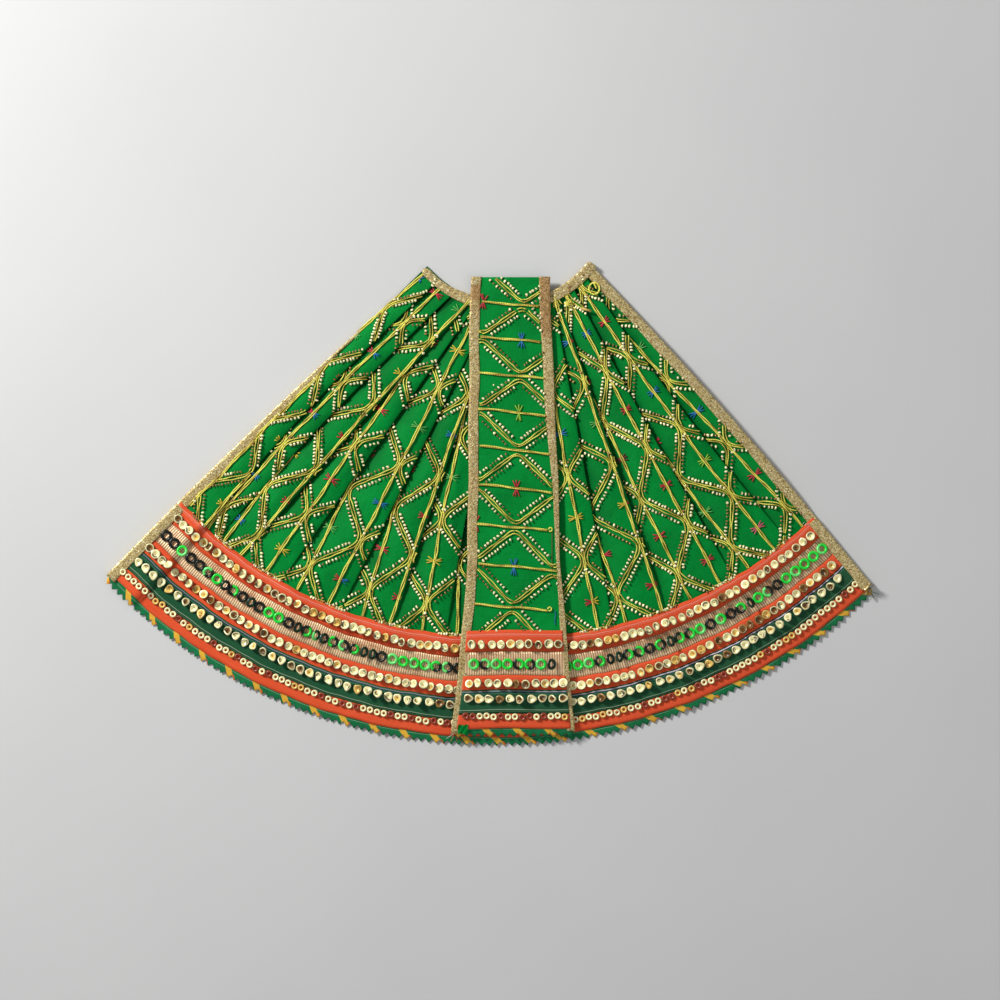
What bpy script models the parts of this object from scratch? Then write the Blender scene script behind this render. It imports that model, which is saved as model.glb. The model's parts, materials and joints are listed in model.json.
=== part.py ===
"""Pleated puppet skirt with a front panel, laid flat with its front up.

Units are metres, +Z up. The garment lies on Z = 0, its waist towards +Y and its hem
towards -Y, and the origin is the centre of its footprint.

The skirt is one pleated fan. It is made as seven gores that meet along pleat folds. Each
of those folds is a hinge, so the skirt can wrap backwards round a figure's waist. Every
gore carries its own length of the waist tape, of the hem bands and of the pinked frill.
The front panel is stitched to the waist by its folded top, and hangs free below it.
"""
import math

import bpy
import bmesh
from mathutils import Vector

MM = 0.001
INCH = 0.0254

# Cloth, tape and panel heights above the surface that the skirt lies on.
CLOTH_LOW = 2.0 * MM
CLOTH_HIGH = 3.2 * MM
CLOTH_AT_BANDS = 2.4 * MM
BAND_TOP = 2.4 * MM
WAIST_TAPE_TOP = 3.4 * MM
EDGE_TAPE_TOP = 3.0 * MM
PANEL_BOTTOM = 3.8 * MM
PANEL_CLOTH_TOP = 5.2 * MM
PANEL_BAND_TOP = 5.4 * MM
PANEL_TAPE_TOP = 5.6 * MM
GAP = 0.3 * MM

# The fan is bounded by two arcs with their own centres. Angles are measured at each
# centre from straight down (-Y), negative to the left.
WAIST_CENTRE = Vector((9.6 * MM, 168.8 * MM))
WAIST_RADIUS = 59.4 * MM
HEM_CENTRE = Vector((-0.4 * MM, 160.5 * MM))
HEM_RADIUS = 294.7 * MM
HEM_FLARE = 6.0 * MM
BAND_RADIUS = 233.7 * MM
BAND_FLARE = 14.8 * MM
EDGE_BOW = 2.6 * MM

# Each fold or edge is a straight line from an angle on the waist to one on the hem.
LEFT_LINES = ((-4.0, -5.5), (-12.0, -19.0), (-21.0, -34.5), (-48.7, -46.6))
RIGHT_LINES = ((5.0, 9.0), (20.0, 20.0), (36.0, 34.0), (51.9, 45.8))
PLEATS_PER_GORE = 3
SECTIONS = 8

# The hem bands, as shares of the way from the top of the bands to the tips of the frill.
RED_BAND = (0.0, 0.192)
COPPER_BAND = (0.192, 0.415)
LOWER_BAND = (0.415, 0.912)
FRILL = (0.912, 1.0)
EDGE_TAPE_END = 0.975
TOOTH_PITCH = 4.2 * MM
TOOTH_DEPTH = 2.4 * MM

TAPE_WIDTH = 6.0 * MM
EDGE_TAPE_WIDTH = 5.6 * MM

# The front panel: ten inches long, and wider towards the hem.
PANEL_LENGTH = 10.0 * INCH
PANEL_TOP_Y = 125.4 * MM
PANEL_HINGE_Y = 104.0 * MM
# The panel's two edges, as (y, x) from its folded top to its hem.
PANEL_LEFT = (
    (125.4 * MM, -10.4 * MM),
    (104.0 * MM, -11.0 * MM),
    (13.4 * MM, -12.6 * MM),
    (-31.0 * MM, -12.8 * MM),
    (-64.3 * MM, -14.8 * MM),
    (-103.1 * MM, -18.7 * MM),
    (-128.6 * MM, -21.5 * MM),
)
PANEL_RIGHT = (
    (125.4 * MM, 33.5 * MM),
    (104.0 * MM, 33.9 * MM),
    (88.9 * MM, 34.6 * MM),
    (13.4 * MM, 37.9 * MM),
    (-31.0 * MM, 39.0 * MM),
    (-64.3 * MM, 41.8 * MM),
    (-103.1 * MM, 45.1 * MM),
    (-128.6 * MM, 47.3 * MM),
)
PANEL_RED_BAND = (-69.8 * MM, -81.5 * MM)
PANEL_COPPER_BAND = (-81.5 * MM, -94.8 * MM)
PANEL_LOWER_BAND = (-94.8 * MM, -123.7 * MM)
PANEL_FRILL = (-123.7 * MM, -129.2 * MM)


# ---- Start from an empty scene ------------------------------------------------------

for old in list(bpy.data.objects):
    bpy.data.objects.remove(old, do_unlink=True)

SKIRT = bpy.data.collections.new("pleated_puppet_skirt")
bpy.context.scene.collection.children.link(SKIRT)


# ---- Materials ----------------------------------------------------------------------

def linear(value):
    """One sRGB channel, 0 to 255, as linear light."""
    share = value / 255.0
    if share <= 0.04045:
        return share / 12.92
    return ((share + 0.055) / 1.055) ** 2.4


def material(name, colour, roughness, metallic=0.0):
    made = bpy.data.materials.new(name)
    made.use_nodes = True
    shader = made.node_tree.nodes["Principled BSDF"]
    shader.inputs["Base Color"].default_value = [linear(c) for c in colour] + [1.0]
    shader.inputs["Roughness"].default_value = roughness
    shader.inputs["Metallic"].default_value = metallic
    return made


MATERIALS = {
    "green_satin": material("green_satin", (0, 128, 62), 0.45),
    "gold_tape": material("gold_tape", (190, 165, 110), 0.4, 0.6),
    "red_ribbon": material("red_ribbon", (215, 70, 40), 0.5),
    "copper_tissue": material("copper_tissue", (180, 125, 90), 0.4, 0.5),
    "dark_green_ribbon": material("dark_green_ribbon", (20, 85, 50), 0.4),
    "pinked_green": material("pinked_green", (0, 110, 60), 0.6),
}


# ---- Lines across the fan -----------------------------------------------------------

def on_arc(centre, radius, degrees):
    angle = math.radians(degrees)
    return centre + radius * Vector((math.sin(angle), -math.cos(angle)))


class Line:
    """A fold or edge from the waist to the hem, moved sideways and bowed."""

    def __init__(self, waist, hem, shift=0.0, bow=0.0):
        self.waist = waist
        self.hem = hem
        self.shift = shift
        self.bow = bow
        turn = max(math.radians(hem), 0.0)
        self.frill_tip = HEM_RADIUS + HEM_FLARE * turn
        self.band_start = BAND_RADIUS + BAND_FLARE * turn
        self.top = on_arc(WAIST_CENTRE, WAIST_RADIUS, waist)
        self.end = on_arc(HEM_CENTRE, self.frill_tip, hem)
        along = (self.end - self.top).normalized()
        self.side = Vector((-along.y, along.x))

    def moved(self, shift):
        return Line(self.waist, self.hem, self.shift + shift, self.bow)

    def toward(self, other, share):
        """The line that lies the given share of the way to the other line."""
        def mix(name):
            return getattr(self, name) * (1 - share) + getattr(other, name) * share
        return Line(mix("waist"), mix("hem"), mix("shift"), mix("bow"))

    def sideways(self, share):
        return self.shift + self.bow * 4 * share * (1 - share)

    def at(self, share):
        return self.top.lerp(self.end, share) + self.side * self.sideways(share)

    def share_at(self, centre, radius):
        """How far down the line it crosses the circle. The bow is settled by repeating."""
        way = self.end - self.top
        share = 0.0
        for _ in range(4):
            start = self.top + self.side * self.sideways(share) - centre
            a = way.dot(way)
            b = 2 * start.dot(way)
            c = start.dot(start) - radius * radius
            share = (-b + math.sqrt(b * b - 4 * a * c)) / (2 * a)
        return share

    def waist_share(self, offset):
        return self.share_at(WAIST_CENTRE, WAIST_RADIUS + offset)

    def band_share(self, share, offset=0.0):
        radius = self.band_start + (self.frill_tip - self.band_start) * share
        return self.share_at(HEM_CENTRE, radius + offset)


def lines_between(left, right, spans):
    return [left.toward(right, i / spans) for i in range(spans + 1)]


# ---- Ways to make a piece -----------------------------------------------------------

def add(name, data, slot, pivot, height=0.0):
    made = bpy.data.objects.new(name, data)
    SKIRT.objects.link(made)
    made.data.materials.append(MATERIALS[slot])
    made.parent = pivot
    made.location = (0.0, 0.0, height - pivot["world"][2])
    return made


def flat_piece(name, outline, bottom, top, slot, pivot):
    """A strip of cloth or tape with the given outline, from bottom to top."""
    shape = bpy.data.curves.new(name, "CURVE")
    shape.dimensions = "2D"
    shape.fill_mode = "BOTH"
    shape.extrude = (top - bottom) / 2
    edge = shape.splines.new("POLY")
    edge.points.add(len(outline) - 1)
    for point, place in zip(edge.points, outline):
        point.co = (place.x - pivot["world"][0], place.y - pivot["world"][1], 0.0, 1.0)
    edge.use_cyclic_u = True
    return add(name, shape, slot, pivot, (top + bottom) / 2)


def pleated_piece(name, lines, heights, slot, pivot):
    """A loft from the stepped pleats at the waist to the flat cloth at the bands."""
    mesh = bmesh.new()
    corner = Vector(pivot["world"])
    top = []
    bottom = []
    for line, high in zip(lines, heights):
        start = line.waist_share(TAPE_WIDTH / 2 + GAP)
        end = line.band_share(0.0, -GAP)
        for j in range(SECTIONS + 1):
            way = j / SECTIONS
            place = line.at(start + (end - start) * way)
            rise = high * (1 - way) + CLOTH_AT_BANDS * way
            top.append(mesh.verts.new(Vector((place.x, place.y, rise)) - corner))
            bottom.append(mesh.verts.new(Vector((place.x, place.y, 0.0)) - corner))
    rows = SECTIONS + 1

    def quad(a, b, c, d):
        mesh.faces.new((a, b, c, d))

    for i in range(len(lines) - 1):
        for j in range(SECTIONS):
            here = i * rows + j
            there = here + rows
            quad(top[here], top[here + 1], top[there + 1], top[there])
            quad(bottom[here], bottom[there], bottom[there + 1], bottom[here + 1])
        for j in (0, SECTIONS):
            here = i * rows + j
            there = here + rows
            quad(top[here], top[there], bottom[there], bottom[here])
    for i in (0, len(lines) - 1):
        for j in range(SECTIONS):
            here = i * rows + j
            quad(top[here], top[here + 1], bottom[here + 1], bottom[here])
    bmesh.ops.recalc_face_normals(mesh, faces=mesh.faces)
    data = bpy.data.meshes.new(name)
    mesh.to_mesh(data)
    mesh.free()
    return add(name, data, slot, pivot, pivot["world"][2])


# ---- Pivots -------------------------------------------------------------------------

def pivot_at(name, place, parent=None):
    """An empty on a joint's axis, with its place in the world kept as a property."""
    made = bpy.data.objects.new(name, None)
    made.empty_display_size = 10 * MM
    SKIRT.objects.link(made)
    made["world"] = tuple(place)
    if parent is None:
        made.location = place
    else:
        made.parent = parent
        made.location = Vector(place) - Vector(parent["world"])
    return made


# ---- The gores ----------------------------------------------------------------------

def strip_outline(lines, inner, outer):
    """Down the first line, along the outer side, and back along the inner side."""
    far = [line.at(outer(line)) for line in lines]
    near = [line.at(inner(line)) for line in lines]
    return far + near[::-1]


def frill_outline(left, right):
    """The frill, with its lower edge cut into teeth."""
    width = (left.at(1.0) - right.at(1.0)).length
    teeth = round(width / TOOTH_PITCH)
    lines = lines_between(left, right, 2 * teeth)
    outer = []
    for i, line in enumerate(lines):
        depth = 0.0 if i % 2 else TOOTH_DEPTH
        outer.append(line.at(line.band_share(FRILL[1], -depth)))
    inner = [line.at(line.band_share(FRILL[0], GAP / 2)) for line in lines[::4]]
    return outer + inner[::-1]


def pleat_lines(left, right):
    """The cloth's lines and their heights at the waist: each pleat rises, then drops."""
    step = 0.012
    lines = []
    heights = []
    for pleat in range(PLEATS_PER_GORE):
        first = pleat / PLEATS_PER_GORE
        last = (pleat + 1) / PLEATS_PER_GORE
        lines.append(left.toward(right, first + step * (pleat > 0)))
        lines.append(left.toward(right, last - step * (pleat < PLEATS_PER_GORE - 1)))
        heights.extend((CLOTH_LOW, CLOTH_HIGH))
    return lines, heights


def gore(name, left, right, pivot, taped=None):
    """Everything that one gore carries, between two lines. A taped side is the skirt's
    own edge, where the edge tape takes the outermost strip."""
    spans = 8
    inner_left = left.moved(GAP / 2)
    inner_right = right.moved(-GAP / 2)
    waist_left = inner_left
    waist_right = inner_right
    if taped == "left":
        inner_left = left.moved(EDGE_TAPE_WIDTH + GAP / 2)
        waist_left = left
    if taped == "right":
        inner_right = right.moved(-EDGE_TAPE_WIDTH - GAP / 2)
        waist_right = right

    waist = strip_outline(
        lines_between(waist_left, waist_right, spans),
        lambda line: line.waist_share(-TAPE_WIDTH / 2),
        lambda line: line.waist_share(TAPE_WIDTH / 2),
    )
    flat_piece(name + "_waist_tape", waist, 0.0, WAIST_TAPE_TOP, "gold_tape", pivot)

    lines, heights = pleat_lines(inner_left, inner_right)
    pleated_piece(name + "_cloth", lines, heights, "green_satin", pivot)

    across = lines_between(inner_left, inner_right, spans)
    for band, share, slot in (
        ("_red_band", RED_BAND, "red_ribbon"),
        ("_copper_band", COPPER_BAND, "copper_tissue"),
        ("_lower_band", LOWER_BAND, "dark_green_ribbon"),
    ):
        outline = strip_outline(
            across,
            lambda line, share=share: line.band_share(share[0], GAP / 2),
            lambda line, share=share: line.band_share(share[1], -GAP / 2),
        )
        flat_piece(name + band, outline, 0.0, BAND_TOP, slot, pivot)
    frill = frill_outline(inner_left, inner_right)
    flat_piece(name + "_frill", frill, 0.0, BAND_TOP, "pinked_green", pivot)


def edge_tape(name, line, inward, pivot):
    """The tape down the skirt's own edge, from the waist tape to the hem."""
    inner = line.moved(inward * (EDGE_TAPE_WIDTH - GAP / 2))
    sides = []
    for side in (line, inner):
        start = side.waist_share(TAPE_WIDTH / 2 + GAP)
        end = side.band_share(EDGE_TAPE_END)
        sides.append([side.at(start + (end - start) * j / SECTIONS)
                      for j in range(SECTIONS + 1)])
    outline = sides[0] + sides[1][::-1]
    flat_piece(name, outline, 0.0, EDGE_TAPE_TOP, "gold_tape", pivot)


def waist_end(line):
    """The waist end of a fold, where its pivot sits."""
    return (line.top.x, line.top.y, 0.0)


left_lines = [Line(*angles) for angles in LEFT_LINES]
right_lines = [Line(*angles) for angles in RIGHT_LINES]
left_lines[-1].bow = -EDGE_BOW
right_lines[-1].bow = EDGE_BOW

root = pivot_at("skirt_pivot", (0.0, 0.0, 0.0))
gore("front", left_lines[0], right_lines[0], root)

parent = root
for i in range(3):
    parent = pivot_at(f"left_wrap_{i + 1}", waist_end(left_lines[i]), parent)
    taped = "left" if i == 2 else None
    gore(f"left_{i + 1}", left_lines[i + 1], left_lines[i], parent, taped)
edge_tape("left_edge_tape", left_lines[-1], 1, parent)

parent = root
for i in range(3):
    parent = pivot_at(f"right_wrap_{i + 1}", waist_end(right_lines[i]), parent)
    taped = "right" if i == 2 else None
    gore(f"right_{i + 1}", right_lines[i], right_lines[i + 1], parent, taped)
edge_tape("right_edge_tape", right_lines[-1], -1, parent)


# ---- The front panel ----------------------------------------------------------------

def side_at(stations, y):
    """The panel edge's x at a height, read between its stations from top to bottom."""
    for (high, x_high), (low, x_low) in zip(stations, stations[1:]):
        if y >= low or low == stations[-1][0]:
            share = (high - y) / (high - low)
            return x_high + (x_low - x_high) * share


def heights_between(stations, top, bottom):
    return [top] + [y for y, _ in stations if bottom < y < top] + [bottom]


def panel_strip(name, top, bottom, from_side, to_side, high, slot, pivot):
    """A piece of the panel between two heights. Each side is its stations and how far
    the piece's edge is moved from them in x."""
    left = [Vector((side_at(from_side[0], y) + from_side[1], y))
            for y in heights_between(from_side[0], top, bottom)]
    right = [Vector((side_at(to_side[0], y) + to_side[1], y))
             for y in heights_between(to_side[0], top, bottom)]
    outline = left + right[::-1]
    flat_piece(name, outline, PANEL_BOTTOM, high, slot, pivot)


LEFT_TAPE_IN = (PANEL_LEFT, TAPE_WIDTH)
RIGHT_TAPE_IN = (PANEL_RIGHT, -TAPE_WIDTH)
CLOTH_LEFT = (PANEL_LEFT, TAPE_WIDTH + GAP)
CLOTH_RIGHT = (PANEL_RIGHT, -TAPE_WIDTH - GAP)

panel = pivot_at("panel_lift", (11.5 * MM, PANEL_HINGE_Y, PANEL_TAPE_TOP), root)
panel_end = PANEL_TOP_Y - PANEL_LENGTH
below = PANEL_HINGE_Y - GAP / 2
above = PANEL_HINGE_Y + GAP / 2

for part, top, bottom, pivot in (
    ("panel_top", PANEL_TOP_Y, above, root),
    ("panel", below, panel_end, panel),
):
    panel_strip(part + "_left_tape", top, bottom, (PANEL_LEFT, 0.0), LEFT_TAPE_IN,
                PANEL_TAPE_TOP, "gold_tape", pivot)
    panel_strip(part + "_right_tape", top, bottom, RIGHT_TAPE_IN, (PANEL_RIGHT, 0.0),
                PANEL_TAPE_TOP, "gold_tape", pivot)
panel_strip("panel_top_fold", PANEL_TOP_Y, above, CLOTH_LEFT, CLOTH_RIGHT,
            PANEL_CLOTH_TOP, "green_satin", root)
panel_strip("panel_cloth", below, PANEL_RED_BAND[0] + GAP, CLOTH_LEFT, CLOTH_RIGHT,
            PANEL_CLOTH_TOP, "green_satin", panel)
for band, (top, bottom), slot in (
    ("panel_red_band", PANEL_RED_BAND, "red_ribbon"),
    ("panel_copper_band", PANEL_COPPER_BAND, "copper_tissue"),
    ("panel_lower_band", PANEL_LOWER_BAND, "dark_green_ribbon"),
):
    panel_strip(band, top - GAP / 2, bottom + GAP / 2, CLOTH_LEFT, CLOTH_RIGHT,
                PANEL_BAND_TOP, slot, panel)


def panel_frill():
    """The panel's own pinked frill, between its tapes."""
    top, tips = PANEL_FRILL
    left = side_at(PANEL_LEFT, tips) + TAPE_WIDTH + GAP
    right = side_at(PANEL_RIGHT, tips) - TAPE_WIDTH - GAP
    teeth = round((right - left) / TOOTH_PITCH)
    outline = [Vector((side_at(PANEL_RIGHT, top) - TAPE_WIDTH - GAP, top - GAP / 2)),
               Vector((side_at(PANEL_LEFT, top) + TAPE_WIDTH + GAP, top - GAP / 2))]
    for i in range(2 * teeth + 1):
        depth = 0.0 if i % 2 else TOOTH_DEPTH
        outline.append(Vector((left + (right - left) * i / (2 * teeth), tips + depth)))
    flat_piece("panel_frill", outline, PANEL_BOTTOM, PANEL_BAND_TOP, "pinked_green", panel)


panel_frill()
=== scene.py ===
"""Pleated puppet skirt with a front panel, laid flat, seen from straight above.

Lengths are in millimetres until a mesh is made, when MM turns them into metres.
The skirt is one cloth with knife pleats. Columns are counted across the cloth, one for
each couched cord, and a way of 0 to 1 runs down a column from the waist to the bands.
"""
import json
import math
import random

import bmesh
import bpy
import numpy as np
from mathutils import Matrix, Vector

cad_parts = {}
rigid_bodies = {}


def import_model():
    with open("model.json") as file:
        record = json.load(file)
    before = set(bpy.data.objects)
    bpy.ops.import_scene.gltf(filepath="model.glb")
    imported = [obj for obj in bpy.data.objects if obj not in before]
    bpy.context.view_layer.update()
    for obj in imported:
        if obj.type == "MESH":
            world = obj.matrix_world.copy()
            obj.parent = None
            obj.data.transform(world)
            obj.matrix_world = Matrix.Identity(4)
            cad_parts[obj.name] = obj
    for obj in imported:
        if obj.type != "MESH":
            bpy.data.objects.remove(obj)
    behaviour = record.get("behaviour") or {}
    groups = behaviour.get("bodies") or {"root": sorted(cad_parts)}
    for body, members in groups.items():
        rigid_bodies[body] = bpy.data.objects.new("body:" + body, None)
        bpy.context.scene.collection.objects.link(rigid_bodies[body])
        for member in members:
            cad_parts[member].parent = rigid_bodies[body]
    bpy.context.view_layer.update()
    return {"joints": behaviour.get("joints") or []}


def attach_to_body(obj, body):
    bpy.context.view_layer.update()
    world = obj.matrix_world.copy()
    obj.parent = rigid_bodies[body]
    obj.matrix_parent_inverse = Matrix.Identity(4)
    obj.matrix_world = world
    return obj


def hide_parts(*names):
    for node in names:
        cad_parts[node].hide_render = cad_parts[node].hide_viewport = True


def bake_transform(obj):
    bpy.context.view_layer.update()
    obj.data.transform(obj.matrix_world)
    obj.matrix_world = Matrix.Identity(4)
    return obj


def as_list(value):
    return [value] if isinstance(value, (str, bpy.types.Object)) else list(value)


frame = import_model()

MM = 0.001
RNG = random.Random(11)

# The fan: two arcs with their own centres. Angles are from straight down, left negative.
WAIST_CENTRE = (9.6, 168.8)
WAIST_RADIUS = 59.4
HEM_CENTRE = (-0.4, 160.5)
BAND_RADIUS = 233.7
BAND_FLARE = 14.8
HEM_RADIUS = 294.7
HEM_FLARE = 6.0
EDGE_BOW = 2.6
EDGES = ((-48.7, -46.6), (51.9, 45.8))
TAPE = 6.0
EDGE_TAPE = 5.6
# Lengths down the cloth: from the waist to the bands, and from there to the hem.
CLOTH_DROP = 185
BANDS_DEPTH = 61.0
# Points closer together than this become one.
MERGE_DISTANCE = 0.001

# The embroidered cloth: couched cords one column apart, zigzags that turn on every row.
COLUMN_PITCH = 20.2
ROW_PITCH = 23.7
FIRST_ROW = 15.6
COLUMN_ANGLES = (
    -46.4, -41.9, -39.1, -36.1, -32.0, -27.0, -22.5, -17.5, -13.6, -9.1, -4.3,
    0.4, 5.2, 9.9, 14.7, 18.6, 23.7, 27.7, 32.1, 36.3, 40.5, 45.2, 49.5,
)
# The first pleat carries the column beside the left edge, which is number -1.
FIRST_PLEAT_ANGLE = -46.3
FIRST_PLEAT_SPREAD = 3.9
# Each pleat: a column, its angle at the waist, degrees a column there, the column of its
# folded right edge at the waist and at the bands, and how far it bows to the right.
PLEATS = (
    (-1, -48.1, 10.0, -0.22, 0.05, -3.0),
    (1, -36.3, 19.5, 1.35, 1.66, -2.5),
    (3, -20.4, 21.0, 3.08, 3.10, -1.0),
    (4, -25.7, 20.0, 4.50, 4.50, 0.0),
    (6, -13.9, 20.0, 6.30, 6.40, 0.5),
    (8, -3.0, 20.0, 8.08, 8.12, -1.5),
    (9, -6.9, 19.5, 9.60, 9.70, -3.0),
    (11.7, 7.0, 19.5, 12.0, 12.2, 0.0),
    (14, 14.8, 19.5, 14.55, 14.55, 0.0),
    (16, 26.0, 19.5, 16.10, 16.12, 0.0),
    (18, 32.3, 10.4, 18.46, 18.46, -1.0),
    (20, 40.6, 13.6, 20.40, 20.45, -2.5),
    (21, 39.9, 19.5, 21.6, 21.6, 0.0),
)

# Heights above the table: of a pleat's fold, what it falls by, and how far it swells.
CREASE_WAIST = 3.0
CREASE_BANDS = 1.1
PLEAT_SLOPE = 0.092
PLEAT_SWELL = 2.0
LOWEST_PLEAT = 0.25
# The dip just inside a fold and the valley where a pleat comes out: depth and reach.
FOLD_DIP = (0.3, 0.5)
VALLEY = (1.3, 3.0)
# The pleat that lifts the bands' left end: its angle, its width in degrees, its height.
LEFT_PLEAT = -42.15
LEFT_PLEAT_WIDTH = 0.35
EDGE_STEP = 2.9
# The right tape's end is turned back over this radius.
CURL_RADIUS = 1.5
# How far the cloth lies under the cords and ribbons sewn on it.
UNDER_TRIM = 0.2
PANEL_Z = 4.7

# The hem bands as shares from their top to the tips of the frill.
RED_1 = (0.0, 0.197)
COPPER = (0.18, 0.43)
RED_2 = (0.415, 0.575)
GREEN = (0.562, 0.775)
RED_3 = (0.768, 0.915)
FRILL = (0.895, 1.0)
TOOTH_PITCH = 4.2
TORN_STITCHES = (-33.6, 45.6)
TOOTH_DEPTH = 2.4
STRIPE_PITCH = 17.2


# ---- Plane geometry -----------------------------------------------------------------

def arc(centre, radius, degrees):
    angle = math.radians(degrees)
    return np.array([centre[0] + radius * math.sin(angle), centre[1] - radius * math.cos(angle)])


def band_radius(degrees, share):
    flare = max(0.0, math.radians(degrees))
    top = BAND_RADIUS + BAND_FLARE * flare
    return top + (HEM_RADIUS + HEM_FLARE * flare - top) * share


def band_xy(degrees, share):
    return arc(HEM_CENTRE, band_radius(degrees, share), degrees)


def edge_xy(side, way):
    """The outer edge of the fan on side 0 (left) or 1 (right), from waist 0 to hem tips 1."""
    waist, hem = EDGES[side]
    top = arc(WAIST_CENTRE, WAIST_RADIUS, waist)
    run = band_xy(hem, 1.0) - top
    out = np.array([-run[1], run[0]]) / np.hypot(*run) * (1 if side else -1)
    return top + run * way + out * EDGE_BOW * 4 * way * (1 - way)


def hem_degrees(point):
    """The angle of a point at the hem's centre."""
    return math.degrees(math.atan2(point[0] - HEM_CENTRE[0], HEM_CENTRE[1] - point[1]))


def hem_reach(point):
    return np.hypot(point[0] - HEM_CENTRE[0], point[1] - HEM_CENTRE[1])


def edge_frame(side, way):
    """A point of the outer edge, the way down it, and the way in from it."""
    edge = edge_xy(side, way)
    ahead = edge_xy(side, way + 0.01) - edge
    ahead /= np.hypot(*ahead)
    return edge, ahead, np.array([-ahead[1], ahead[0]]) * (1 if side == 0 else -1)


def edge_way(side, share):
    """How far down an edge the bands' share lies."""
    low, high = 0.6, 1.1
    for _ in range(30):
        way = (low + high) / 2
        point = edge_xy(side, way)
        degrees = hem_degrees(point)
        if hem_reach(point) < band_radius(degrees, share):
            low = way
        else:
            high = way
    return way, degrees


SHARES = np.linspace(-0.05, 1.05, 23)
EDGE_DEGREES = [[edge_way(side, s)[1] for s in SHARES] for side in (0, 1)]
EDGE_BAND_WAY = [edge_way(side, 0.0)[0] for side in (0, 1)]


def edge_degrees(side, share):
    return float(np.interp(share, SHARES, EDGE_DEGREES[side]))


def smooth(value):
    value = min(max(value, 0.0), 1.0)
    return value * value * (3 - 2 * value)


def tape_width(side, way):
    """How wide an edge tape shows. The upper part of the left one is turned under."""
    if side == 1:
        return EDGE_TAPE + 0.25 * math.sin(way * 31)
    middle = 0.9 * smooth((way - 0.17) / 0.05) + 2.3 * smooth((way - 0.27) / 0.12)
    return 0.6 + middle + 1.8 * smooth((way - 0.45) / 0.2)


# ---- The pleated cloth --------------------------------------------------------------

def column_degrees(column):
    whole = min(max(int(math.floor(column)), 0), len(COLUMN_ANGLES) - 2)
    first, second = COLUMN_ANGLES[whole], COLUMN_ANGLES[whole + 1]
    return first + (second - first) * (column - whole)


def pleat_degrees(pleat, column):
    if pleat == 0:
        return FIRST_PLEAT_ANGLE + (column + 1) * FIRST_PLEAT_SPREAD
    return column_degrees(column)


def pleat_ends(pleat, column):
    guide, waist, spread = PLEATS[pleat][:3]
    return (arc(WAIST_CENTRE, WAIST_RADIUS, waist + (column - guide) * spread),
            band_xy(pleat_degrees(pleat, column), 0.0))


def pleat_xy(pleat, column, way):
    top, bottom = pleat_ends(pleat, column)
    run = bottom - top
    right = np.array([-run[1], run[0]]) / np.hypot(*run)
    return top + run * way + right * PLEATS[pleat][5] * 4 * way * (1 - way)


def crease_column(pleat, way):
    if pleat == len(PLEATS) - 1:
        return nearest_column(pleat, edge_xy(1, way * EDGE_BAND_WAY[1]), way)
    return PLEATS[pleat][3] + (PLEATS[pleat][4] - PLEATS[pleat][3]) * way


def nearest_column(pleat, point, way):
    """The column of a pleat that passes closest to a point, at one way."""
    column = float(PLEATS[pleat][0])
    for _ in range(5):
        here = pleat_xy(pleat, column, way)
        step = pleat_xy(pleat, column + 0.2, way) - here
        column += 0.2 * float(np.dot(point - here, step) / np.dot(step, step))
    return column


WAYS = np.linspace(0.0, 1.0, 81)


def pleat_limits():
    """For each pleat and way: the columns where it comes out from under its left neighbour,
    where it is folded, and how wide it shows."""
    limits = []
    for pleat in range(len(PLEATS)):
        rows = []
        for way in WAYS:
            crease = crease_column(pleat, way)
            if pleat == 0:
                start = nearest_column(0, edge_xy(0, way * EDGE_BAND_WAY[0]), way)
                inner = start
            else:
                before = crease_column(pleat - 1, way)
                start = nearest_column(pleat, pleat_xy(pleat - 1, before, way), way)
                start = min(max(start, before), crease - 0.02)
                inner = (start + before) / 2
            shown = np.hypot(*(pleat_xy(pleat, crease, way) - pleat_xy(pleat, start, way)))
            rows.append((inner, start, crease, shown))
        limits.append(np.array(rows))
    return limits


LIMITS = pleat_limits()


def limit(pleat, way, which):
    return float(np.interp(way, WAYS, LIMITS[pleat][:, which]))


COVERED_YS = (-130, 0, 125)
COVERED_LEFT = (-21.0, -12.5, -10.5)
COVERED_RIGHT = (47.0, 38.2, 33.5)
COVER_FADE = 8


def under_panel(x, y):
    """1 where the front panel lies on the skirt, fading to 0 beside it."""
    left, right = (np.interp(y, COVERED_YS, sides) for sides in (COVERED_LEFT, COVERED_RIGHT))
    return smooth((x - left) / COVER_FADE + 1) * smooth((right - x) / COVER_FADE + 1)


def band_ripple(degrees, share):
    """The height of the cloth under the bands. One deep pleat lifts the left end."""
    step = EDGE_STEP * smooth((LEFT_PLEAT - degrees) / LEFT_PLEAT_WIDTH)
    wave = 0.35 * math.sin(math.radians(degrees) * 23) + 0.25 * math.sin(math.radians(degrees) * 51 + 1)
    return CREASE_BANDS + step + (0.4 + wave) * (1 - 0.5 * share)


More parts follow.
